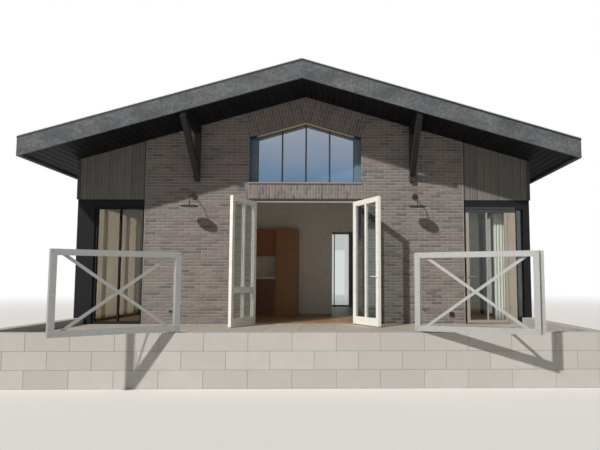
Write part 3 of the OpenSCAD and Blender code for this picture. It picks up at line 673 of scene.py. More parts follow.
# %% Galvanised steel
zinc_finish, tree, shader = new_finish("galvanised_steel", rough=0.48, metal=0.45)
spangle = add(tree, "TexVoronoi", {"Vector": spot(tree), "Scale": 70.0}).outputs["Color"]
grey = add(tree, "RGBToBW", {0: spangle}).outputs[0]
dull = ranged(tree, cloud(tree, 0.2, detail=6.0, rough=0.7), 0.3, 0.7)
metal = mixed(tree, grey, "969796", "a8a9a8")
coloured(tree, shader, mixed(tree, dull, mixed(tree, 0.4, metal, "94928c"), metal))
relief(tree, shader, cloud(tree, 0.01), 0.0003)

# %% Glass
WARM_REFLECTION_TINT = (0.68, 0.60, 0.49, 1)
COOL_REFLECTION_TINT = (0.40, 0.43, 0.43, 1)
PANE_ROUGH = 0.02


def see_through(name, tint, mirror_tint, mirror=0.12):
    """A pane: tinted where it lets through, with a mirror that grows at a glancing angle."""
    material, tree, shader = new_finish(name)
    clear = add(tree, "BsdfTransparent", {"Color": tint})
    gloss = add(tree, "BsdfGlossy", {"Color": mirror_tint, "Roughness": PANE_ROUGH})
    edge = add(tree, "LayerWeight", {"Blend": 0.5}).outputs["Facing"]
    share = ranged(tree, calc(tree, "POWER", edge, 5.0), 0.0, 1.0, mirror, 0.9)
    blended(tree, share, clear, gloss)
    tree.nodes.remove(shader)
    return material


leaf_glass_finish = see_through("leaf_glass", (0.80, 0.83, 0.82, 1), (0.9, 0.95, 1, 1))
side_glass_finish = see_through("side_glass", (0.76, 0.77, 0.75, 1), (0.8, 0.9, 1, 1))
door_glass_finish = see_through("side_door_glass", (0.92, 0.93, 0.92, 1),
                                (0.50, 0.56, 0.54, 1), mirror=0.05)
dark_glass_finish = see_through("dark_glass", WARM_REFLECTION_TINT, (0.55, 0.58, 0.56, 1), mirror=0.08)
# The tint differs by wing, warm on the left and cool on the right: a painted reflection of what
# each wing mirrors.
tree = dark_glass_finish.node_tree
right_wing = calc(tree, "GREATER_THAN", measured(tree, RIGHT))
tree.links.new(mixed(tree, right_wing, WARM_REFLECTION_TINT, COOL_REFLECTION_TINT),
               tree.nodes["Transparent BSDF"].inputs["Color"])

# %% Gable glass, with a painted reflection of a sky that pales upwards
PALE_FROM_TOP = 0.15

gable_glass_finish, tree, shader = new_finish("gable_glass", rough=0.05, metal=0.8)
# The base colour is a painted reflection of the sky: blue low down, pale near the top, with faint
# patches.
painted_sky_rise = ranged(tree, measured(tree, UP), SILL, WINDOW_APEX - PALE_FROM_TOP)
painted_sky_haze = ranged(tree, cloud(tree, 0.9), 0.3, 0.7, -0.12, 0.12)
painted_sky_rise = calc(tree, "ADD", painted_sky_rise, painted_sky_haze, use_clamp=True)
coloured(tree, shader, mixed(tree, painted_sky_rise, "5d80a3", "9aa3b0"))
shader.inputs["Coat Weight"].default_value = 0.3

# %% Curtain cloth
cloth_finish, tree, shader = new_finish("curtain_cloth", rough=0.9)
weave = add(tree, "TexCoord").outputs["UV"]
weft = add(tree, "TexWave", {"Vector": weave, "Scale": 160.0, "Distortion": 0.6})
warp = add(tree, "TexWave", {"Vector": weave, "Scale": 60.0, "Distortion": 0.6},
           bands_direction="Y")
thread = calc(tree, "ADD", weft.outputs["Fac"], warp.outputs["Fac"])
coloured(tree, shader, mixed(tree, thread, "dfe4dc", "eef1ea"))
relief(tree, shader, thread, 0.0002)
shader.inputs["Sheen Weight"].default_value = 0.3
print("finishes:", len(bpy.data.materials))

# %% [markdown]
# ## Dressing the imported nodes
# Pieces whose shape is right as it was packed keep their mesh and get a finish.

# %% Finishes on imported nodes
dress(wall_finish, "front_wall_left", "front_wall_right", "front_wall_over_door",
      "front_wall_over_window", "back_wall")
dress(joint_finish, "house_plinth", "floor_slab")
dress(charcoal_finish, "wing_gables", "left_side_wall", "right_side_wall", "back_wings")
dress(timber_finish, "wing_beams", "corner_panels", "left_bay_frame", "purlins")
dress(bracket_finish, "roof_brackets")
dress(dark_glass_finish, "wing_glass")
dress(door_glass_finish, "side_leaf_glass")
dress(leaf_glass_finish, "left_leaf_glass", "right_leaf_glass", "back_window_glass")
dress(side_glass_finish, "side_window_glass")
dress(gable_glass_finish, "gable_window_glass")
dress(window_metal, "gable_window_frame")
dress(greige_paint, "side_window_frames")
dress(white_paint, "back_window_frame", "left_french_leaf", "cross_wall")
dress(barge_finish, "front_bargeboards", "back_bargeboards", "eaves_boards")
dress(roof_finish, "left_roof_slope", "right_roof_slope", "ridge_cap")
dress(edge_finish, "roof_edge_trim")
dress(lining_finish, "gable_window_lining")
dress(black_metal, "wall_lamps")
dress(zinc_finish, "gate_pivots", "left_gate", "right_gate")
dress(chrome_finish, "curtain_rail")
dress(cabinet_finish, "tall_cabinet", "wall_cupboard")
dress(drawer_finish, "base_cabinet")
print("packed nodes dressed")

# %% [markdown]
# ## The brick slip
# A real brick here measures 210 by 50 mm with joints of 11 mm, raked out a little. One slip is
# modelled: a thin block, its front edges bevelled. A few arrays make a stock of courses as large
# as the whole gable. Each wall part is then a copy of the stock cut along its edges, so that the
# courses run through from part to part.

# %% One slip and a stock of courses
BRICK_L = 0.210
BRICK_H = 0.050
JOINT = 0.011
PROUD = 0.010
SEAT = 0.004
UNEVEN = 0.0022
UNEVEN_UPRIGHT = 0.002
CLOSE = 1e-5
FACES_PER_SLIP = 10
CUT_END_TONE = 0.4
COURSE = BRICK_H + JOINT
BRICK_COUNT = round((2 * BRICK_X + JOINT) / (BRICK_L + JOINT))
BRICK_STEP = (2 * BRICK_X + JOINT) / BRICK_COUNT
SLIP_FACE = FRONT - PROUD
SLIP_BACK = FRONT + SEAT


def slip(name, low, high, soft=0.004):
    """A thin brick on a wall that faces the front."""
    piece = block(name, low, high)
    face_y = low[1]
    return ease(piece, soft, lambda middle, way: abs(middle.y - face_y) < CLOSE)


def toned(piece, seed, faces_each):
    """Gives each brick or board a tone of its own, held on its faces."""
    draw = random.Random(seed)
    tones = piece.data.attributes.new("tone", "FLOAT", "FACE")
    count = len(piece.data.polygons)
    values = [draw.random() for _ in range(count // faces_each + 1)]
    tones.data.foreach_set("value", [values[i // faces_each] for i in range(count)])
    return piece


def roughened(piece, amount, seed):
    """Moves each corner a little, as hand-struck bricks are uneven."""
    open_with(piece)
    bpy.ops.transform.vertex_random(offset=amount, seed=seed)
    close()
    return piece


def stock_of_courses(seed):
    """Half-bond courses from the left end of the brick front upwards from the floor."""
    first = slip("brick_stock", (-BRICK_X, SLIP_FACE, FLOOR + JOINT),
                 (-BRICK_X + BRICK_STEP - JOINT, SLIP_BACK, FLOOR + COURSE))
    row(first, BRICK_COUNT, (BRICK_STEP, 0, 0))
    second = copy_of(first, "half_bond", (-BRICK_STEP / 2, 0, COURSE))
    last = slip("last", (BRICK_X - BRICK_STEP / 2, SLIP_FACE, FLOOR + JOINT + COURSE),
                (BRICK_X + BRICK_STEP / 2, SLIP_BACK, FLOOR + 2 * COURSE))
    stock = joined("brick_stock", [first, second, last])
    row(stock, math.ceil((APEX - FLOOR) / COURSE / 2), (0, 0, 2 * COURSE))
    toned(stock, seed, FACES_PER_SLIP)
    return roughened(stock, UNEVEN, seed)


def cut_from(stock, name, cuts):
    """A copy of a stock with everything cut off beyond each plane."""
    part = copy_of(stock, name)
    for place, away in cuts:
        cut_off(part, place, away, fill=True)
    for tone in part.data.attributes["tone"].data:
        if tone.value == 0:
            tone.value = CUT_END_TONE
    return part


def window_of(x0, x1, z0, z1):
    """The four cuts round an upright rectangle."""
    return [((x0, 0, 0), (-1, 0, 0)), ((x1, 0, 0), (1, 0, 0)),
            ((0, 0, z0), (0, 0, -1)), ((0, 0, z1), (0, 0, 1))]


def under_slope(side):
    """The cut along the underside of the roof on one side."""
    return ((0, 0, APEX), (side * math.sin(PITCH), 0, math.cos(PITCH)))


stock = stock_of_courses(seed=11)
print("stock:", len(stock.data.polygons) // FACES_PER_SLIP, "bricks")

# %% [markdown]
# ## Soldiers over the door and fans over the window
# Over the door the bricks stand on end, and over the gable window two rising bands of upright
# bricks meet in a V. A band is laid flat, turned to the roof slope and cut on the middle line.

# %% Upright bricks
SOLDIER_X = 1.16
LINTEL_H = 0.02


def upright_bricks(name, x0, count, z0, height, seed, rough_seed):
    """Standing bricks in two alternating columns: two equal ones, and a half at each end."""
    full = (height - JOINT) / 2
    half = (height - full - 2 * JOINT) / 2
    pieces = []
    for x, lengths in ((x0, (full, full)), (x0 + COURSE, (half, full, half))):
        z = z0
        for length in lengths:
            pieces.append(slip(name, (x, SLIP_FACE, z), (x + BRICK_H, SLIP_BACK, z + length)))
            z += length + JOINT
    bricks = row(joined(name, pieces), math.ceil(count / 2), (2 * COURSE, 0, 0))
    toned(bricks, seed, FACES_PER_SLIP)
    return roughened(bricks, UNEVEN_UPRIGHT, rough_seed)


soldier_count = math.ceil(2 * SOLDIER_X / COURSE)
soldiers = upright_bricks("soldiers", -SOLDIER_X, soldier_count, HEAD + LINTEL_H,
                          SILL - HEAD - LINTEL_H, 21, 5)
for cut in window_of(-SOLDIER_X, SOLDIER_X, 0, APEX):
    cut_off(soldiers, *cut)

# %% The fan over the window
BAND_ALONG = WINDOW_X / math.cos(PITCH)
BAND_HIGH = (APEX - WINDOW_APEX) * math.cos(PITCH)
PAST_MIDDLE = 4
RED_NEAR = 0.36
RED_SHARE = 0.3
FAN_PAINTED_SHADE = 0.4


def fan(side):
    """The band on one side of the window head."""
    count = 2 * math.ceil(BAND_ALONG / COURSE / 2) + PAST_MIDDLE
    start = BAND_ALONG - count * COURSE + JOINT
    band = upright_bricks(f"fan_{side}", start, count, WINDOW_APEX, BAND_HIGH,
                          31 + side, 7 + side)
    turned(band, "Y", PITCH, (0, FRONT, WINDOW_APEX))
    cut_off(band, (0, 0, 0), (-1, 0, 0))
    if side < 0:
        whole = other_side(band, f"fan_left_{side}")
        throw_away(band)
        band = whole
    # Apart from the red ones near the middle, fan bricks take a lower tone: painted shade under the
    # roof overhang.
    draw = random.Random(50 + side)
    tones = band.data.attributes["tone"].data
    for i in range(0, len(tones), FACES_PER_SLIP):
        near = abs(band.data.polygons[i].center.x) < RED_NEAR
        red = near and draw.random() < RED_SHARE
        for tone in tones[i:i + FACES_PER_SLIP]:
            tone.value = 1.0 if red else tone.value * FAN_PAINTED_SHADE
    return band


fans = [fan(-1), fan(1)]
print("soldiers:", soldier_count, "fan height", round(BAND_HIGH, 3))

# %% [markdown]
# ## The front wall
# Each side has four areas: beside the door, beside the soldiers, beside the window and up under
# the roof, where the end of the fan leans outwards.

# %% Front wall
def fan_end(side):
    """The cut along the leaning end of the fan."""
    foot = (side * (WINDOW_X + JOINT / 2), 0, WINDOW_SIDE)
    return (foot, (-side * math.cos(PITCH), 0, math.sin(PITCH)))


def front_side(side):
    """All courses on one side of the middle."""
    areas = [(DOOR_X, FLOOR, HEAD + LINTEL_H, []),
             (SOLDIER_X + JOINT, HEAD + LINTEL_H, SILL, []),
             (WINDOW_X, SILL, WINDOW_SIDE, []),
             (WINDOW_X, WINDOW_SIDE, APEX, [under_slope(side), fan_end(side)])]
    parts = []
    for inner, z0, z1, more in areas:
        x = sorted((side * inner, side * BRICK_X))
        parts.append(cut_from(stock, "courses", window_of(*x, z0, z1) + more))
    return parts


front_bricks = joined("front_bricks", front_side(-1) + front_side(1) + [soldiers] + fans)
hand_over(front_bricks, brick_finish)

# %% [markdown]
# ## The back wall
# The same stock, turned round the house, with a soldier course over the back window.

# %% Back wall
BACK_SOLDIER = 0.21
turned(stock, "Z", math.pi, (0, MIDDLE_Y, 0))
soldier_end = DOOR_X + 2 * COURSE
back_soldiers = upright_bricks("back_soldiers", -soldier_end, math.ceil(2 * soldier_end / COURSE),
                               HEAD + JOINT, BACK_SOLDIER, 61, 9)
turned(back_soldiers, "Z", math.pi, (0, MIDDLE_Y, 0))
soldier_top = HEAD + BACK_SOLDIER + JOINT
back_areas = [(-BRICK_X, -DOOR_X, FLOOR, HEAD), (DOOR_X, BRICK_X, FLOOR, HEAD),
              (-BRICK_X, -soldier_end, HEAD, soldier_top),
              (soldier_end, BRICK_X, HEAD, soldier_top)]
back_parts = [cut_from(stock, "back_courses", window_of(*area)) for area in back_areas]
for side in (-1, 1):
    x = sorted((0, side * BRICK_X))
    cuts = window_of(*x, soldier_top, APEX) + [under_slope(side)]
    back_parts.append(cut_from(stock, "back_gable", cuts))
back_bricks = joined("back_bricks", back_parts + [back_soldiers])
hand_over(back_bricks, brick_finish)
throw_away(stock)
print("brick walls done")

# %% [markdown]
# ## Terrace walls of concrete blocks
# The terrace wall is one block thick, so each block is modelled through and through and stands
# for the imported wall. A core a few millimetres behind the faces is the mortar in the joints.

# %% Block walls
BLOCK_L = 0.60
BLOCK_H = 0.25
BLOCK_JOINT = 0.005
BLOCK_EASE = 0.004
JOINT_DEPTH = 0.004
FIRST_JOINT = 0.03
FACES_PER_BLOCK = 26
ROUNDING = 0.01


def block_wall(name, low, high, first_joint, seed):
    """Half-bond blocks through the whole thickness of a wall along X."""
    low, high = Vector(low), Vector(high)
    gap = BLOCK_JOINT / 2
    start = first_joint + math.floor((low.x - first_joint) / BLOCK_L) * BLOCK_L
    one = block(name, (start + gap, low.y, low.z + gap),
                (start + BLOCK_L - gap, high.y, low.z + BLOCK_H - gap))
    ease(one, BLOCK_EASE)
    count = math.ceil((high.x - start) / BLOCK_L) + 1
    row(one, count, (BLOCK_L, 0, 0))
    courses = math.ceil((high.z - low.z) / BLOCK_H - ROUNDING)
    rows = [one] + [copy_of(one, name + "_course", (-BLOCK_L / 2 * (i % 2), 0, BLOCK_H * i))
                    for i in range(1, courses)]
    wall = toned(joined(name, rows), seed, FACES_PER_BLOCK)
    for place, away in window_of(low.x, high.x, low.z - 1, high.z):
        cut_off(wall, place, away, fill=True)
    return wall


front_low, front_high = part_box("terrace_front_wall")
terrace_front = block_wall("terrace_front", front_low, front_high, FIRST_JOINT, 71)
side_low, side_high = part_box("terrace_side_walls")
terrace_thick = front_high.y - front_low.y
side_len = side_high.y - side_low.y
side_walls = []
for side in (-1, 1):
    wall = block_wall("terrace_side", (0, 0, side_low.z), (side_len, terrace_thick, side_high.z),
                      0, 73 + side)
    turned(wall, "Z", math.pi / 2)
    wall_x = HOUSE_X if side > 0 else -HOUSE_X + terrace_thick
    side_walls.append(moved(wall, (wall_x, side_low.y, 0)))
terrace_blocks = joined("terrace_blocks", [terrace_front] + side_walls)
hand_over(terrace_blocks, block_finish,
          stands_for=("terrace_front_wall", "terrace_side_walls"))

inset = Vector((JOINT_DEPTH, JOINT_DEPTH, JOINT_DEPTH))
behind = [(front_low - Vector((0, 0, JOINT_DEPTH)), front_high)]
for side in (-1, 1):
    x = sorted((side * HOUSE_X, side * (HOUSE_X - terrace_thick)))
    behind.append((Vector((x[0], side_low.y - 2 * JOINT_DEPTH, -JOINT_DEPTH)),
                   Vector((x[1], side_high.y, side_high.z))))
cores = [ease(block("mortar_core", low + inset, high - inset)) for low, high in behind]
terrace_joints = joined("terrace_joints", cores)
hand_over(terrace_joints, joint_finish)

# %% Terrace paving
PAVING = 0.60
PAVING_T = 0.04
PAVING_JOINT = 0.005
deck_low, deck_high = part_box("terrace_deck")
one = block("terrace_paving", (deck_low.x, deck_low.y, deck_high.z - PAVING_T),
            (deck_low.x + PAVING - PAVING_JOINT, deck_low.y + PAVING - PAVING_JOINT,
             deck_high.z))
ease(one)
row(one, math.ceil((deck_high.x - deck_low.x) / PAVING), (PAVING, 0, 0))
row(one, math.ceil((deck_high.y - deck_low.y) / PAVING), (0, PAVING, 0))
toned(one, 81, FACES_PER_BLOCK)
cut_off(one, (deck_high.x, 0, 0), (1, 0, 0), fill=True)
cut_off(one, (0, deck_high.y, 0), (0, 1, 0), fill=True)
hand_over(one, paving_finish)
bed = block("terrace_bed", deck_low, deck_high - Vector((0, 0, JOINT_DEPTH)))
ease(bed)
hand_over(bed, joint_finish, stands_for=("terrace_deck",))

# %% [markdown]
# ## The plinth
# The base of the house is of the same blocks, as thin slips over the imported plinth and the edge
# of the slab, on the two sides and the back.

# %% Plinth slips
SLIP_PROUD = 0.003
SLIP_SUNK = 0.01


runs = []
for length, quarters, x, y, seed in (
        (BACK - FRONT, -1, -HOUSE_X, BACK, 90), (BACK - FRONT, 1, HOUSE_X, FRONT, 92),
        (2 * HOUSE_X, 2, HOUSE_X, BACK, 95)):
    run = block_wall("plinth_run", (0, -SLIP_PROUD, 0), (length, SLIP_SUNK, FLOOR), 0, seed)
    turned(run, "Z", quarters * math.pi / 2)
    runs.append(moved(run, (x, y, 0)))
plinth_blocks = joined("plinth_blocks", runs)
hand_over(plinth_blocks, block_finish)

# %% [markdown]
# ## Upright boards
# The wings are clad with upright boards on a dark ground. As with the bricks, one board becomes
# a stock as large as a whole wall, and each area is cut out of a copy, so that the boards line
# up over and under the windows. Pale strips beside the joints on the wings are painted
# highlights, where the sun would catch the arrises of the boards.

# %% Boards, and painted highlights on their arrises, over the glass of the wings
BOARD_STEP = 0.1435
BOARD_GAP = 0.007
BOARD_PROUD = 0.016
WIDTH_TO_EASE = 28
FACES_PER_BOARD = 10
ARRIS_W = 0.008
ARRIS_PROUD = 0.0175

wall_low, wall_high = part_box("right_side_wall")
side_len = wall_high.y - wall_low.y
wing_w = HOUSE_X - BRICK_X
roof_cut = ((-BRICK_X, 0, APEX), (math.sin(PITCH), 0, math.cos(PITCH)))


def board_stock(name, x0, x1, proud, width, seed):
    """Boards in X from 0, on a wall whose face lies at Y = 0 and looks to the front."""
    first = slip(name, (x0, -proud, FLOOR), (x1, SEAT, APEX), (x1 - x0) / WIDTH_TO_EASE)
    row(first, math.ceil(width / BOARD_STEP), (BOARD_STEP, 0, 0))
    return toned(first, seed, FACES_PER_BOARD)


def wing_field(stock, name, finish):
    """The part of a stock that covers the wings over their glass."""
    field = cut_from(stock, name, window_of(0, wing_w, HEAD, APEX) + [roof_cut])
    moved(field, (BRICK_X, WING_FRONT, 0))
    hand_over(on_both_sides(name, field), finish)


boards = board_stock("board_stock", BOARD_GAP, BOARD_STEP, BOARD_PROUD, side_len, seed=101)
arrises = board_stock("arris_stock", BOARD_GAP, BOARD_GAP + ARRIS_W, ARRIS_PROUD, wing_w,
                      seed=102)
wing_field(boards, "wing_boards", cladding_finish)
wing_field(arrises, "wing_arrises", arris_highlight_finish)

# %% Boards on the side walls and at the back
REAR_SILL = FLOOR + 0.90
EAVES = under_roof(HOUSE_X)
BACK_SETBACK = 0.02

glazed = CROSS_WALL - wall_low.y
rear_1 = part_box("side_window_frames")[1].y - wall_low.y
rear_0 = CROSS_WALL + wall_high.y - 2 * wall_low.y - rear_1
side_areas = [(0, glazed, HEAD, EAVES), (glazed, rear_0, FLOOR, EAVES),
              (rear_0, rear_1, FLOOR, REAR_SILL), (rear_0, rear_1, HEAD, EAVES),
              (rear_1, side_len, FLOOR, EAVES)]
side_field = joined("side_boards", [cut_from(boards, "side_part", window_of(*area))
                                    for area in side_areas])
turned(side_field, "Z", math.pi / 2)
moved(side_field, (HOUSE_X, wall_low.y, 0))
back_field = cut_from(boards, "back_boards", window_of(0, wing_w, FLOOR, APEX) + [roof_cut])
moved(back_field, (BRICK_X, 0, 0))
turned(back_field, "Z", math.pi)
moved(back_field, (0, BACK - BACK_SETBACK, 0))
side_boards = on_both_sides("side_boards", side_field, back_field)
hand_over(side_boards, cladding_finish)
throw_away(boards, arrises)

# %% Corner posts, and flashings where the boards meet the brick
CORNER_W = 0.045
CORNER_OUT = 0.022
FLASH = 0.03
FLASH_OUT = 0.028

corners = []
for y_face, way, z0 in ((WING_FRONT, -1, HEAD), (BACK - BACK_SETBACK, 1, FLOOR)):
    for x0, x1, back, out, soft in (
            (HOUSE_X - CORNER_W, HOUSE_X + CORNER_OUT, CORNER_W, CORNER_OUT, 0.003),
            (BRICK_X, BRICK_X + FLASH, SEAT, FLASH_OUT, 0.002)):
        y = sorted((y_face + way * out, y_face - way * back))
        post = block("corner_boards", (x0, y[0], z0), (x1, y[1], under_roof(x1)))
        corners.append(ease(post, soft))
hand_over(on_both_sides("corner_boards", *corners), flashing_finish)

# %% [markdown]
# ## Soffit boards
# Narrow boards run from the front to the back under both slopes. They stand for the packed
# soffit. One slope is laid flat, turned to the pitch and mirrored.

# %% Soffit
SOFFIT_STEP = 0.118
SOFFIT_GAP = 0.006
SOFFIT_T = 0.028

along = ROOF_X / math.cos(PITCH)
board_count = math.ceil(along / SOFFIT_STEP)
slope = block("soffit_boards", (SOFFIT_GAP / 2, ROOF_FRONT, 0),
              (SOFFIT_STEP - SOFFIT_GAP / 2, ROOF_BACK, SOFFIT_T))
ease(slope, 0.004, lambda middle, way: abs(way.y) > 0.9 and middle.z < 0.001)
row(slope, board_count, (SOFFIT_STEP, 0, 0))
toned(slope, 111, len(slope.data.polygons) // board_count)
cut_off(slope, (along, 0, 0), (1, 0, 0), fill=True)
turned(slope, "Y", PITCH)
moved(slope, (0, 0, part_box("soffit")[1].z - SOFFIT_T / math.cos(PITCH)))
cut_off(slope, (0, 0, 0), (-1, 0, 0), fill=True)
soffit_boards = on_both_sides("soffit_boards", slope)
hand_over(soffit_boards, soffit_finish, stands_for=("soffit",))

# %% [markdown]
# ## Roof sheets
# The covering is folded metal: a thin skin with upright seams that run from the ridge to the
# eaves every 43 centimetres.

# %% Standing seams
SEAM_STEP = 0.43
SEAM_H = 0.016
SEAM_W = 0.012
RIDGE_FREE = 0.19
EDGE_FREE = 0.07

slope_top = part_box("right_roof_slope")[1].z
seam_len = (ROOF_X - EDGE_FREE - RIDGE_FREE) / math.cos(PITCH)
seam_count = int((ROOF_BACK - ROOF_FRONT - 2 * EDGE_FREE) / SEAM_STEP)
start_y = (ROOF_FRONT + ROOF_BACK - seam_count * SEAM_STEP) / 2
seam = block("roof_seams", (0, start_y, -SEAT), (seam_len, start_y + SEAM_W, SEAM_H))
ease(seam, 0.003, lambda middle, way: middle.z > SEAM_H - 0.001)
row(seam, seam_count + 1, (0, SEAM_STEP, 0))
turned(seam, "Y", PITCH)
moved(seam, (RIDGE_FREE, 0, slope_top - SLOPE * RIDGE_FREE))
hand_over(on_both_sides("roof_seams", seam), roof_finish)
print("timber and roof done")

# %% [markdown]
# ## Two colours on one part
# Some imported parts show two colours. A mask that reads the place in metres parts them: the
# dark head of the side door, which is painted shade under the roof, the grey threshold under
# the white frame, the steel of the levers.

# %% Masks and two-tone paints
LEVER_Z = FLOOR + 0.90
LEVER_REACH = 0.05
HINGE_TO_FACE = 0.014
FACE_PLAY = 0.0005
THRESHOLD = FLOOR + 0.012
DOOR_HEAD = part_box("right_door_leaf")[1].z - 0.060
WHITE = srgb("f1eee8")
GREIGE = srgb("968e82")

anchors = {joint["name"]: Vector(joint["pos_m"]) for joint in frame["joints"]}
left_open, right_open = math.radians(108), math.radians(116)


def two_tone(name, colour, other, mask):
    """A paint with a second colour where the mask is 1."""
    material, tree, shader = new_finish(name, rough=0.38)
    worn = ranged(tree, cloud(tree, 0.12, detail=5.0), 0.35, 0.7)
    shade = [part * 0.88 for part in colour[:3]] + [1]
    base = mixed(tree, worn, colour, shade)
    coloured(tree, shader, mixed(tree, mask(tree), base, other))
    relief(tree, shader, cloud(tree, 0.004, detail=3.0), 0.0002)
    return material


def threshold_mask(tree):
    return calc(tree, "LESS_THAN", measured(tree, UP), THRESHOLD)


# Above DOOR_HEAD the side door is dark: painted shade under the roof.
def door_head_shade_mask(tree):
    return calc(tree, "GREATER_THAN", measured(tree, UP), DOOR_HEAD)


def outer_lever_mask(tree):
    """1 at the height of the levers and out of the leaf's outer face."""
    out = Vector((math.sin(right_open), -math.cos(right_open), 0))
    face = anchors["right_french_hinge"].dot(out) - HINGE_TO_FACE + FACE_PLAY
    near = calc(tree, "LESS_THAN", off_plane(tree, UP, LEVER_Z), LEVER_REACH)
    return calc(tree, "MULTIPLY", near, calc(tree, "GREATER_THAN", measured(tree, out), face))


frame_paint = two_tone("door_frame_paint", WHITE, "8f8a82", threshold_mask)
side_paint = two_tone("side_door_paint", GREIGE, "26292b", door_head_shade_mask)
leaf_paint = two_tone("leaf_paint", WHITE, "26292b", outer_lever_mask)
dress(frame_paint, "french_door_frame")
dress(side_paint, "right_door_frame", "right_door_leaf")
dress(leaf_paint, "right_french_leaf")
print("two-tone paints ready")

# %% [markdown]
# ## Round the openings
# A thin steel lintel over the French doors, panels beside and inside the gable window in a dark
# blue-grey that is painted sky-lit shade, a sill sheet under it, and glazing beads on the leaves.

# %% Lintel and gable window
LINTEL_X = 1.147
LINTEL_LOW = 0.030
LINTEL_TOP = 0.015
LINTEL_PROUD = 0.005
PANEL_T = 0.012
PANEL_UP = 0.010
REVEAL_T = 0.010
REVEAL_BACK = 0.015
HEAD_FREE = 0.014
SIDE_FREE = 0.002
SILL_T = 0.004
SILL_OUT = 0.030
DRIP = 0.022
DRIP_T = 0.003

lintel = block("door_lintel", (-LINTEL_X, SLIP_FACE - LINTEL_PROUD, HEAD - LINTEL_LOW),
               (LINTEL_X, SLIP_BACK, HEAD + LINTEL_TOP))
hand_over(ease(lintel), black_metal)

panel = block("window_panels", (WINDOW_X - PANEL_W, WINDOW_FACE - PANEL_T, SILL + PANEL_UP),
              (WINDOW_X - SIDE_FREE, WINDOW_FACE + SEAT, APEX))
reveal = block("window_reveal", (WINDOW_X - REVEAL_T, FRONT + REVEAL_BACK, SILL + SIDE_FREE),
               (WINDOW_X - 0.001, WINDOW_FACE, APEX))
for piece in (panel, reveal):
    cut_off(piece, (0, 0, WINDOW_APEX - HEAD_FREE), (math.sin(PITCH), 0, math.cos(PITCH)),
            fill=True)
window_panels = on_both_sides("window_panels", ease(panel), ease(reveal, 0.0015))
hand_over(window_panels, panel_paint)

sill_x = WINDOW_X - SIDE_FREE
sill_z = SILL + SIDE_FREE
sheet_part = block("window_sill", (-sill_x, FRONT - SILL_OUT, sill_z),
                   (sill_x, WINDOW_FACE + SEAT, sill_z + SILL_T))
drip_part = block("sill_drip", (-sill_x, FRONT - SILL_OUT - DRIP_T, sill_z - DRIP),
                  (sill_x, FRONT - SILL_OUT, sill_z + SILL_T))
window_sill = joined("window_sill", [ease(sheet_part, 0.001), ease(drip_part, 0.001)])
hand_over(window_sill, greige_paint)
print("openings done")

# %% [markdown]
# ## Beads on the leaves
# Slim quarter beads hold the panes in the French leaves. They are laid out on a leaf that lies
# along X from its hinge, and then turned and moved to where the leaf stands open.

# %% Glazing beads
BEAD = 0.012
BEAD_FREE = 0.004
LEAF_T = 0.056
LEAF_STILE = 0.085
LEAF_FOOT = 0.130
LEAF_BAR = 0.030
LEAF_RAIL_Z = 0.600
LEAF_FREE = 0.006
FRAME_HEAD = 0.045
HINGE_X = 0.009
LIFT = 0.014


def bead_ring(x0, x1, z0, z1, y0, y1):
    """Four beads round one pane."""
    bars = [(x0, z0, x0 + BEAD, z1), (x1 - BEAD, z0, x1, z1),
            (x0 + BEAD, z0, x1 - BEAD, z0 + BEAD), (x0 + BEAD, z1 - BEAD, x1 - BEAD, z1)]
    return [ease(block("bead", (a, y0, b), (c, y1, d))) for a, b, c, d in bars]


def leaf_beads(name, body, joint, angle, mirrored, rail):
    """Beads inside and outside on all the panes of a leaf."""
    hinge = anchors[joint]
    leaf_w = abs(hinge.x) - HINGE_X - LEAF_FREE
    top = HEAD - FRAME_HEAD - LEAF_FREE - FLOOR - LEAF_STILE
    rows = [(LIFT + LEAF_FOOT, LIFT + rail), (LIFT + rail + LEAF_STILE, top)] if rail else [
        (LIFT + LEAF_FOOT, top)]
    half_bar, middle = LEAF_BAR / 2, LEAF_T / 2
    pieces = []
    for x in ((-leaf_w + LEAF_STILE, -leaf_w / 2 - half_bar),
              (-leaf_w / 2 + half_bar, -LEAF_STILE)):
        for z in rows:
            for y in ((BEAD_FREE, middle - BEAD), (middle + BEAD, LEAF_T - BEAD_FREE)):
                pieces += bead_ring(*x, *z, *y)
    beads = joined(name, pieces)
    moved(beads, (-HINGE_X, HINGE_TO_FACE, 0))
    turned(beads, "Z", angle)
    if mirrored:
        whole = other_side(beads, name + "_mirrored")
        throw_away(beads)
        beads = name_it(whole, name)
    moved(beads, (hinge.x, hinge.y, FLOOR))
    hand_over(beads, white_paint, body=body)


leaf_beads("right_leaf_beads", "right_french_leaf", "right_french_hinge", right_open, False, 0)
leaf_beads("left_leaf_beads", "left_french_leaf", "left_french_hinge", left_open, True,
           LEAF_RAIL_Z)

# %% [markdown]
# ## Inside
# What shows through the open doors and the glass: a timber floor, the kitchen fronts and the
# drawn curtain.

# %% Timber floor
PLANK = 0.165
PLANK_GAP = 0.003
PLANK_T = 0.006
PLANK_UP = 0.001
WALL_KEPT = 0.20

room_x = HOUSE_X - WALL_KEPT
plank = block("floor_planks", (-room_x, FRONT + WALL_THICK, FLOOR + PLANK_UP),
              (-room_x + PLANK - PLANK_GAP, BACK - WALL_THICK, FLOOR + PLANK_T))
ease(plank, 0.0015, lambda middle, way: abs(way.y) > 0.9 and middle.z > FLOOR + PLANK_T / 2)
plank_faces = len(plank.data.polygons)
row(plank, math.ceil(2 * room_x / PLANK), (PLANK, 0, 0))
toned(plank, 121, plank_faces)
cut_off(plank, (room_x, 0, 0), (1, 0, 0), fill=True)
hand_over(plank, oak_floor_finish)

# %% [markdown]
# The kitchen has flat fronts with narrow gaps: a tall cabinet with two doors, a wall cupboard,
# and drawers under a pale worktop.

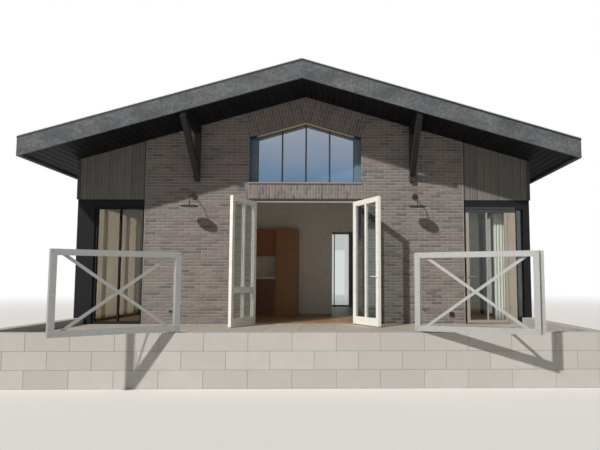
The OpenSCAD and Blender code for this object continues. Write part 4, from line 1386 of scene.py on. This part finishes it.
# %% Kitchen fronts
FRONT_T = 0.018
FRONT_GAP = 0.002
HAIR = 0.001
SPLIT_Z = FLOOR + 1.50
KICK = 0.10
WORKTOP_T = 0.030
WORKTOP_UP = 0.018
WORKTOP_LEFT = 0.002
WORKTOP_OUT = 0.006
DRAWERS_BACK = 0.030
DRAWER_EDGES = (0.36, 0.61)

tall_low, tall_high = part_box("tall_cabinet")
cup_low, cup_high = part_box("wall_cupboard")
base_low, base_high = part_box("base_cabinet")


def fronts(name, x_edges, z_edges, y_face):
    """Flat fronts between the given edges, standing before a face that looks to the front."""
    made = []
    for x0, x1 in zip(x_edges, x_edges[1:]):
        for z0, z1 in zip(z_edges, z_edges[1:]):
            piece = block(name, (x0 + FRONT_GAP, y_face - FRONT_T, z0 + FRONT_GAP),
                          (x1 - FRONT_GAP, y_face - HAIR, z1 - FRONT_GAP))
            made.append(ease(piece, 0.0015))
    return joined(name, made)


tall = fronts("tall_fronts", (tall_low.x, tall_high.x),
              (FLOOR + KICK, SPLIT_Z, tall_high.z), tall_low.y)
hand_over(tall, cabinet_finish)
middle_x = (cup_low.x + cup_high.x) / 2
cupboard = fronts("cupboard_fronts", (cup_low.x, middle_x, cup_high.x),
                  (cup_low.z, cup_high.z), cup_low.y)
hand_over(cupboard, cupboard_finish)
drawer_z = [FLOOR + z for z in (KICK, *DRAWER_EDGES)] + [base_high.z - WORKTOP_T]
drawers = fronts("drawer_fronts", (base_low.x, middle_x, base_high.x), drawer_z,
                 base_low.y + DRAWERS_BACK)
hand_over(drawers, drawer_finish)
top = block("worktop", (base_low.x - WORKTOP_LEFT, base_low.y - WORKTOP_OUT,
                        base_high.z - WORKTOP_T),
            (base_high.x - HAIR, base_high.y - HAIR, base_high.z + WORKTOP_UP))
hand_over(ease(top, 0.003), worktop_finish)

# %% [markdown]
# ## The curtain
# The drawn curtain hangs in pleats from rings on its rail. A zigzag of upright strips is
# smoothed by a subdivision surface and given its thickness. Smoothing keeps a third of the
# zigzag's depth, so that the strips start three times as deep.

# %% Pleated curtain
PLEATS = 6
CLOTH_T = 0.0012
SMOOTHED = 3.0
SWING_SHARE = 0.93
TOP_SHARE = 0.72
TOP_EDGE = 0.01
MERGE = 0.0005

low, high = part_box("right_curtain")
swing = (high.y - low.y - 2 * CLOTH_T) / 2 * SMOOTHED * SWING_SHARE
centre_y = (low.y + high.y) / 2


def strip(start, end):
    """An upright strip between two places in plan."""
    start, end = Vector((*start, 0)), Vector((*end, 0))
    pick()
    bpy.ops.mesh.primitive_plane_add(size=1, rotation=(math.pi / 2, 0, 0))
    piece = name_it(bpy.context.object, "curtain_strip")
    piece.scale = ((end - start).length, high.z - low.z, 1)
    settle(piece)
    along = end - start
    turned(piece, "Z", math.atan2(along.y, along.x))
    middle = (start + end) / 2
    return moved(piece, (low.x + middle.x, centre_y + middle.y, (low.z + high.z) / 2))


quarter = (high.x - low.x) / PLEATS / 4
zigzag = [((2 * i + 1) * quarter, swing * (-1) ** i) for i in range(2 * PLEATS)]
zigzag = [(0, 0), *zigzag, (high.x - low.x, 0)]
curtain = joined("curtain", [strip(*ends) for ends in zip(zigzag, zigzag[1:])])
open_with(curtain)
bpy.ops.mesh.remove_doubles(threshold=MERGE)
close()
modified(curtain, "SUBSURF", levels=3, render_levels=3, boundary_smooth="PRESERVE_CORNERS")
open_with(curtain, edges=lambda middle, way: middle.z > high.z - TOP_EDGE)
bpy.ops.transform.resize(value=(1, TOP_SHARE, 1), center_override=(0, centre_y, 0))
close()
modified(curtain, "SOLIDIFY", thickness=CLOTH_T, offset=0)
bpy.ops.object.shade_smooth()

# %% Curtain rings
RAIL_R = 0.010
RING_R = 0.0135
WIRE_R = 0.002
RING_IN = 0.006

rail_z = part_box("curtain_rail")[1].z - RAIL_R
rings = torus("curtain_rings",
              (low.x + RING_IN, centre_y, rail_z - (RING_R - WIRE_R - RAIL_R)),
              RING_R, WIRE_R, (0, math.pi / 2, 0), around=18, across=6)
row(rings, PLEATS + 1, ((high.x - low.x - 2 * RING_IN) / PLEATS, 0, 0))
hand_over(rings, chrome_finish)
hand_over(curtain, cloth_finish, stands_for=("right_curtain",))

# %% [markdown]
# ## Small fittings
# Weld seams on the mitred corners of the gates, a ring and a few small boxes on the brick, the
# rims and screws of the lamps, and a strip where the brick ends.

# %% Weld seams on the gates
GATE_TUBE = 0.076
GATE_H = 1.070
GATES_APART = 0.062
WELD = 0.0025
WELD_IN = 0.007

gate_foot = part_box("left_gate")[0].z
gate_span = anchors["right_gate_hinge"].x - anchors["left_gate_hinge"].x
leaf_reach = (gate_span - GATES_APART) / 2


def weld_seams(name, body, joint, degrees):
    """A thin bead along each mitre, on both faces, laid out on a leaf along X."""
    half, long = GATE_TUBE / 2, GATE_TUBE - 2 * WELD_IN
    seams = []
    for x0, along in ((WELD_IN - half, long), (leaf_reach - WELD_IN, -long)):
        for z0, up in ((WELD_IN, long), (GATE_H - WELD_IN, -long)):
            for y in (-half, half):
                seams.append(rod(name, (x0, y, z0), (x0 + along, y, z0 + up), WELD, 6))
    seams = turned(joined(name, seams), "Z", math.radians(degrees))
    hinge = anchors[joint]
    moved(seams, (hinge.x, hinge.y, gate_foot))
    hand_over(seams, weld_finish, body=body)


weld_seams("left_gate_seams", "left_gate", "left_gate_hinge", 218)
weld_seams("right_gate_seams", "right_gate", "right_gate_hinge", -25)

# %% A ring, a frame, two boxes and a dot on the brick
RING_AT = (-1.98, 0.485)
RING_OUT = 0.004
FRAME_X = (-2.585, -2.515)
FRAME_Z = (0.215, 0.275)
FRAME_BAR = 0.007
FRAME_OUT = 0.012
INSET = 0.009
INSET_OUT = 0.006
SOCKET_X = (2.79, 2.87)
SOCKET_Z = (0.15, 0.23)
SOCKET_OUT = 0.045
DOT_AT = (2.31, 0.26)
DOT_R = 0.012
SUNK = 0.002


def on_brick(name, x, z, out, sunk=SUNK, soft=0.001, segments=1):
    """A small box on the brick face, its height counted from the floor."""
    x, z = sorted(x), sorted(z)
    box = block(name, (x[0], SLIP_FACE - out, FLOOR + z[0]), (x[1], SLIP_FACE + sunk, FLOOR + z[1]))
    return ease(box, soft, segments=segments)


x, z = RING_AT
ring = torus("wall_ring", (x, SLIP_FACE - RING_OUT, FLOOR + z), 0.028, 0.006,
             rotation=(math.pi / 2, 0, 0))
inner_z = (FRAME_Z[0] + FRAME_BAR, FRAME_Z[1] - FRAME_BAR)
bars = [on_brick("wall_outline", FRAME_X, (FRAME_Z[i], inner_z[i]), FRAME_OUT) for i in (0, 1)]
bars += [on_brick("wall_outline", (x, x + way * FRAME_BAR), inner_z, FRAME_OUT)
         for x, way in zip(FRAME_X, (1, -1))]
wall_rims = joined("wall_rims", bars + [ring])
hand_over(wall_rims, weld_finish)

x, z = DOT_AT
wall_boxes = joined("wall_boxes", [
    on_brick("wall_box", SOCKET_X, SOCKET_Z, SOCKET_OUT, 2 * SUNK, 0.008, segments=2),
    rod("wall_dot", (x, SLIP_FACE + SUNK, FLOOR + z), (x, SLIP_FACE - DOT_R, FLOOR + z), DOT_R),
    on_brick("wall_inset", (FRAME_X[0] + INSET, FRAME_X[1] - INSET),
             (FRAME_Z[0] + INSET, FRAME_Z[1] - INSET), INSET_OUT)])
hand_over(wall_boxes, black_metal)

# %% Lamp rims and screws
LAMP_X = 2.150
LAMP_Y = FRONT - 0.390
SHADE_Z = FLOOR + 2.230
ROSE_Z = FLOOR + 2.457
SHADE_R = 0.163
RIM_R = 0.004
COLLAR_R = 0.017
COLLAR_Z = (SHADE_Z - 0.002, SHADE_Z + 0.022)
SCREW_R = 0.004
SCREWS_X = (LAMP_X - 0.042, LAMP_X + 0.042)
SCREW_Y = (FRONT - 0.020, FRONT - 0.027)

rim = torus("lamp_rims", (LAMP_X, LAMP_Y, SHADE_Z - 2 * RIM_R), SHADE_R, RIM_R, around=64)
collar = rod("lamp_collar", *((LAMP_X, LAMP_Y, z) for z in COLLAR_Z), COLLAR_R, 24)
screws = [rod("lamp_screw", *((x, y, ROSE_Z) for y in SCREW_Y), SCREW_R, 8) for x in SCREWS_X]
lamp_trims = on_both_sides("lamp_trims", rim, ease(collar, 0.003), *screws)
hand_over(lamp_trims, black_metal)

# %% Edge of the brick
EDGE_W = 0.016
EDGE_OUT = 0.004

edge_x = BRICK_X + EDGE_OUT
edge = block("brick_edges", (BRICK_X - EDGE_W, SLIP_FACE - EDGE_OUT, FLOOR),
             (edge_x, SLIP_BACK, under_roof(edge_x) - EDGE_OUT))
hand_over(on_both_sides("brick_edges", ease(edge)), edge_paint)
print("fittings done")

# %% [markdown]
# ## The size of the dressed house
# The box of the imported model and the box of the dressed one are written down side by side, so
# that it can be seen that the looks added nothing to the size.

# %% Boxes
boxes = {"cad": [list(corner) for corner in cad_box],
         "visual": [list(corner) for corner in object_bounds()]}
for key, corners in boxes.items():
    print(key, [[round(value, 3) for value in corner] for corner in corners])
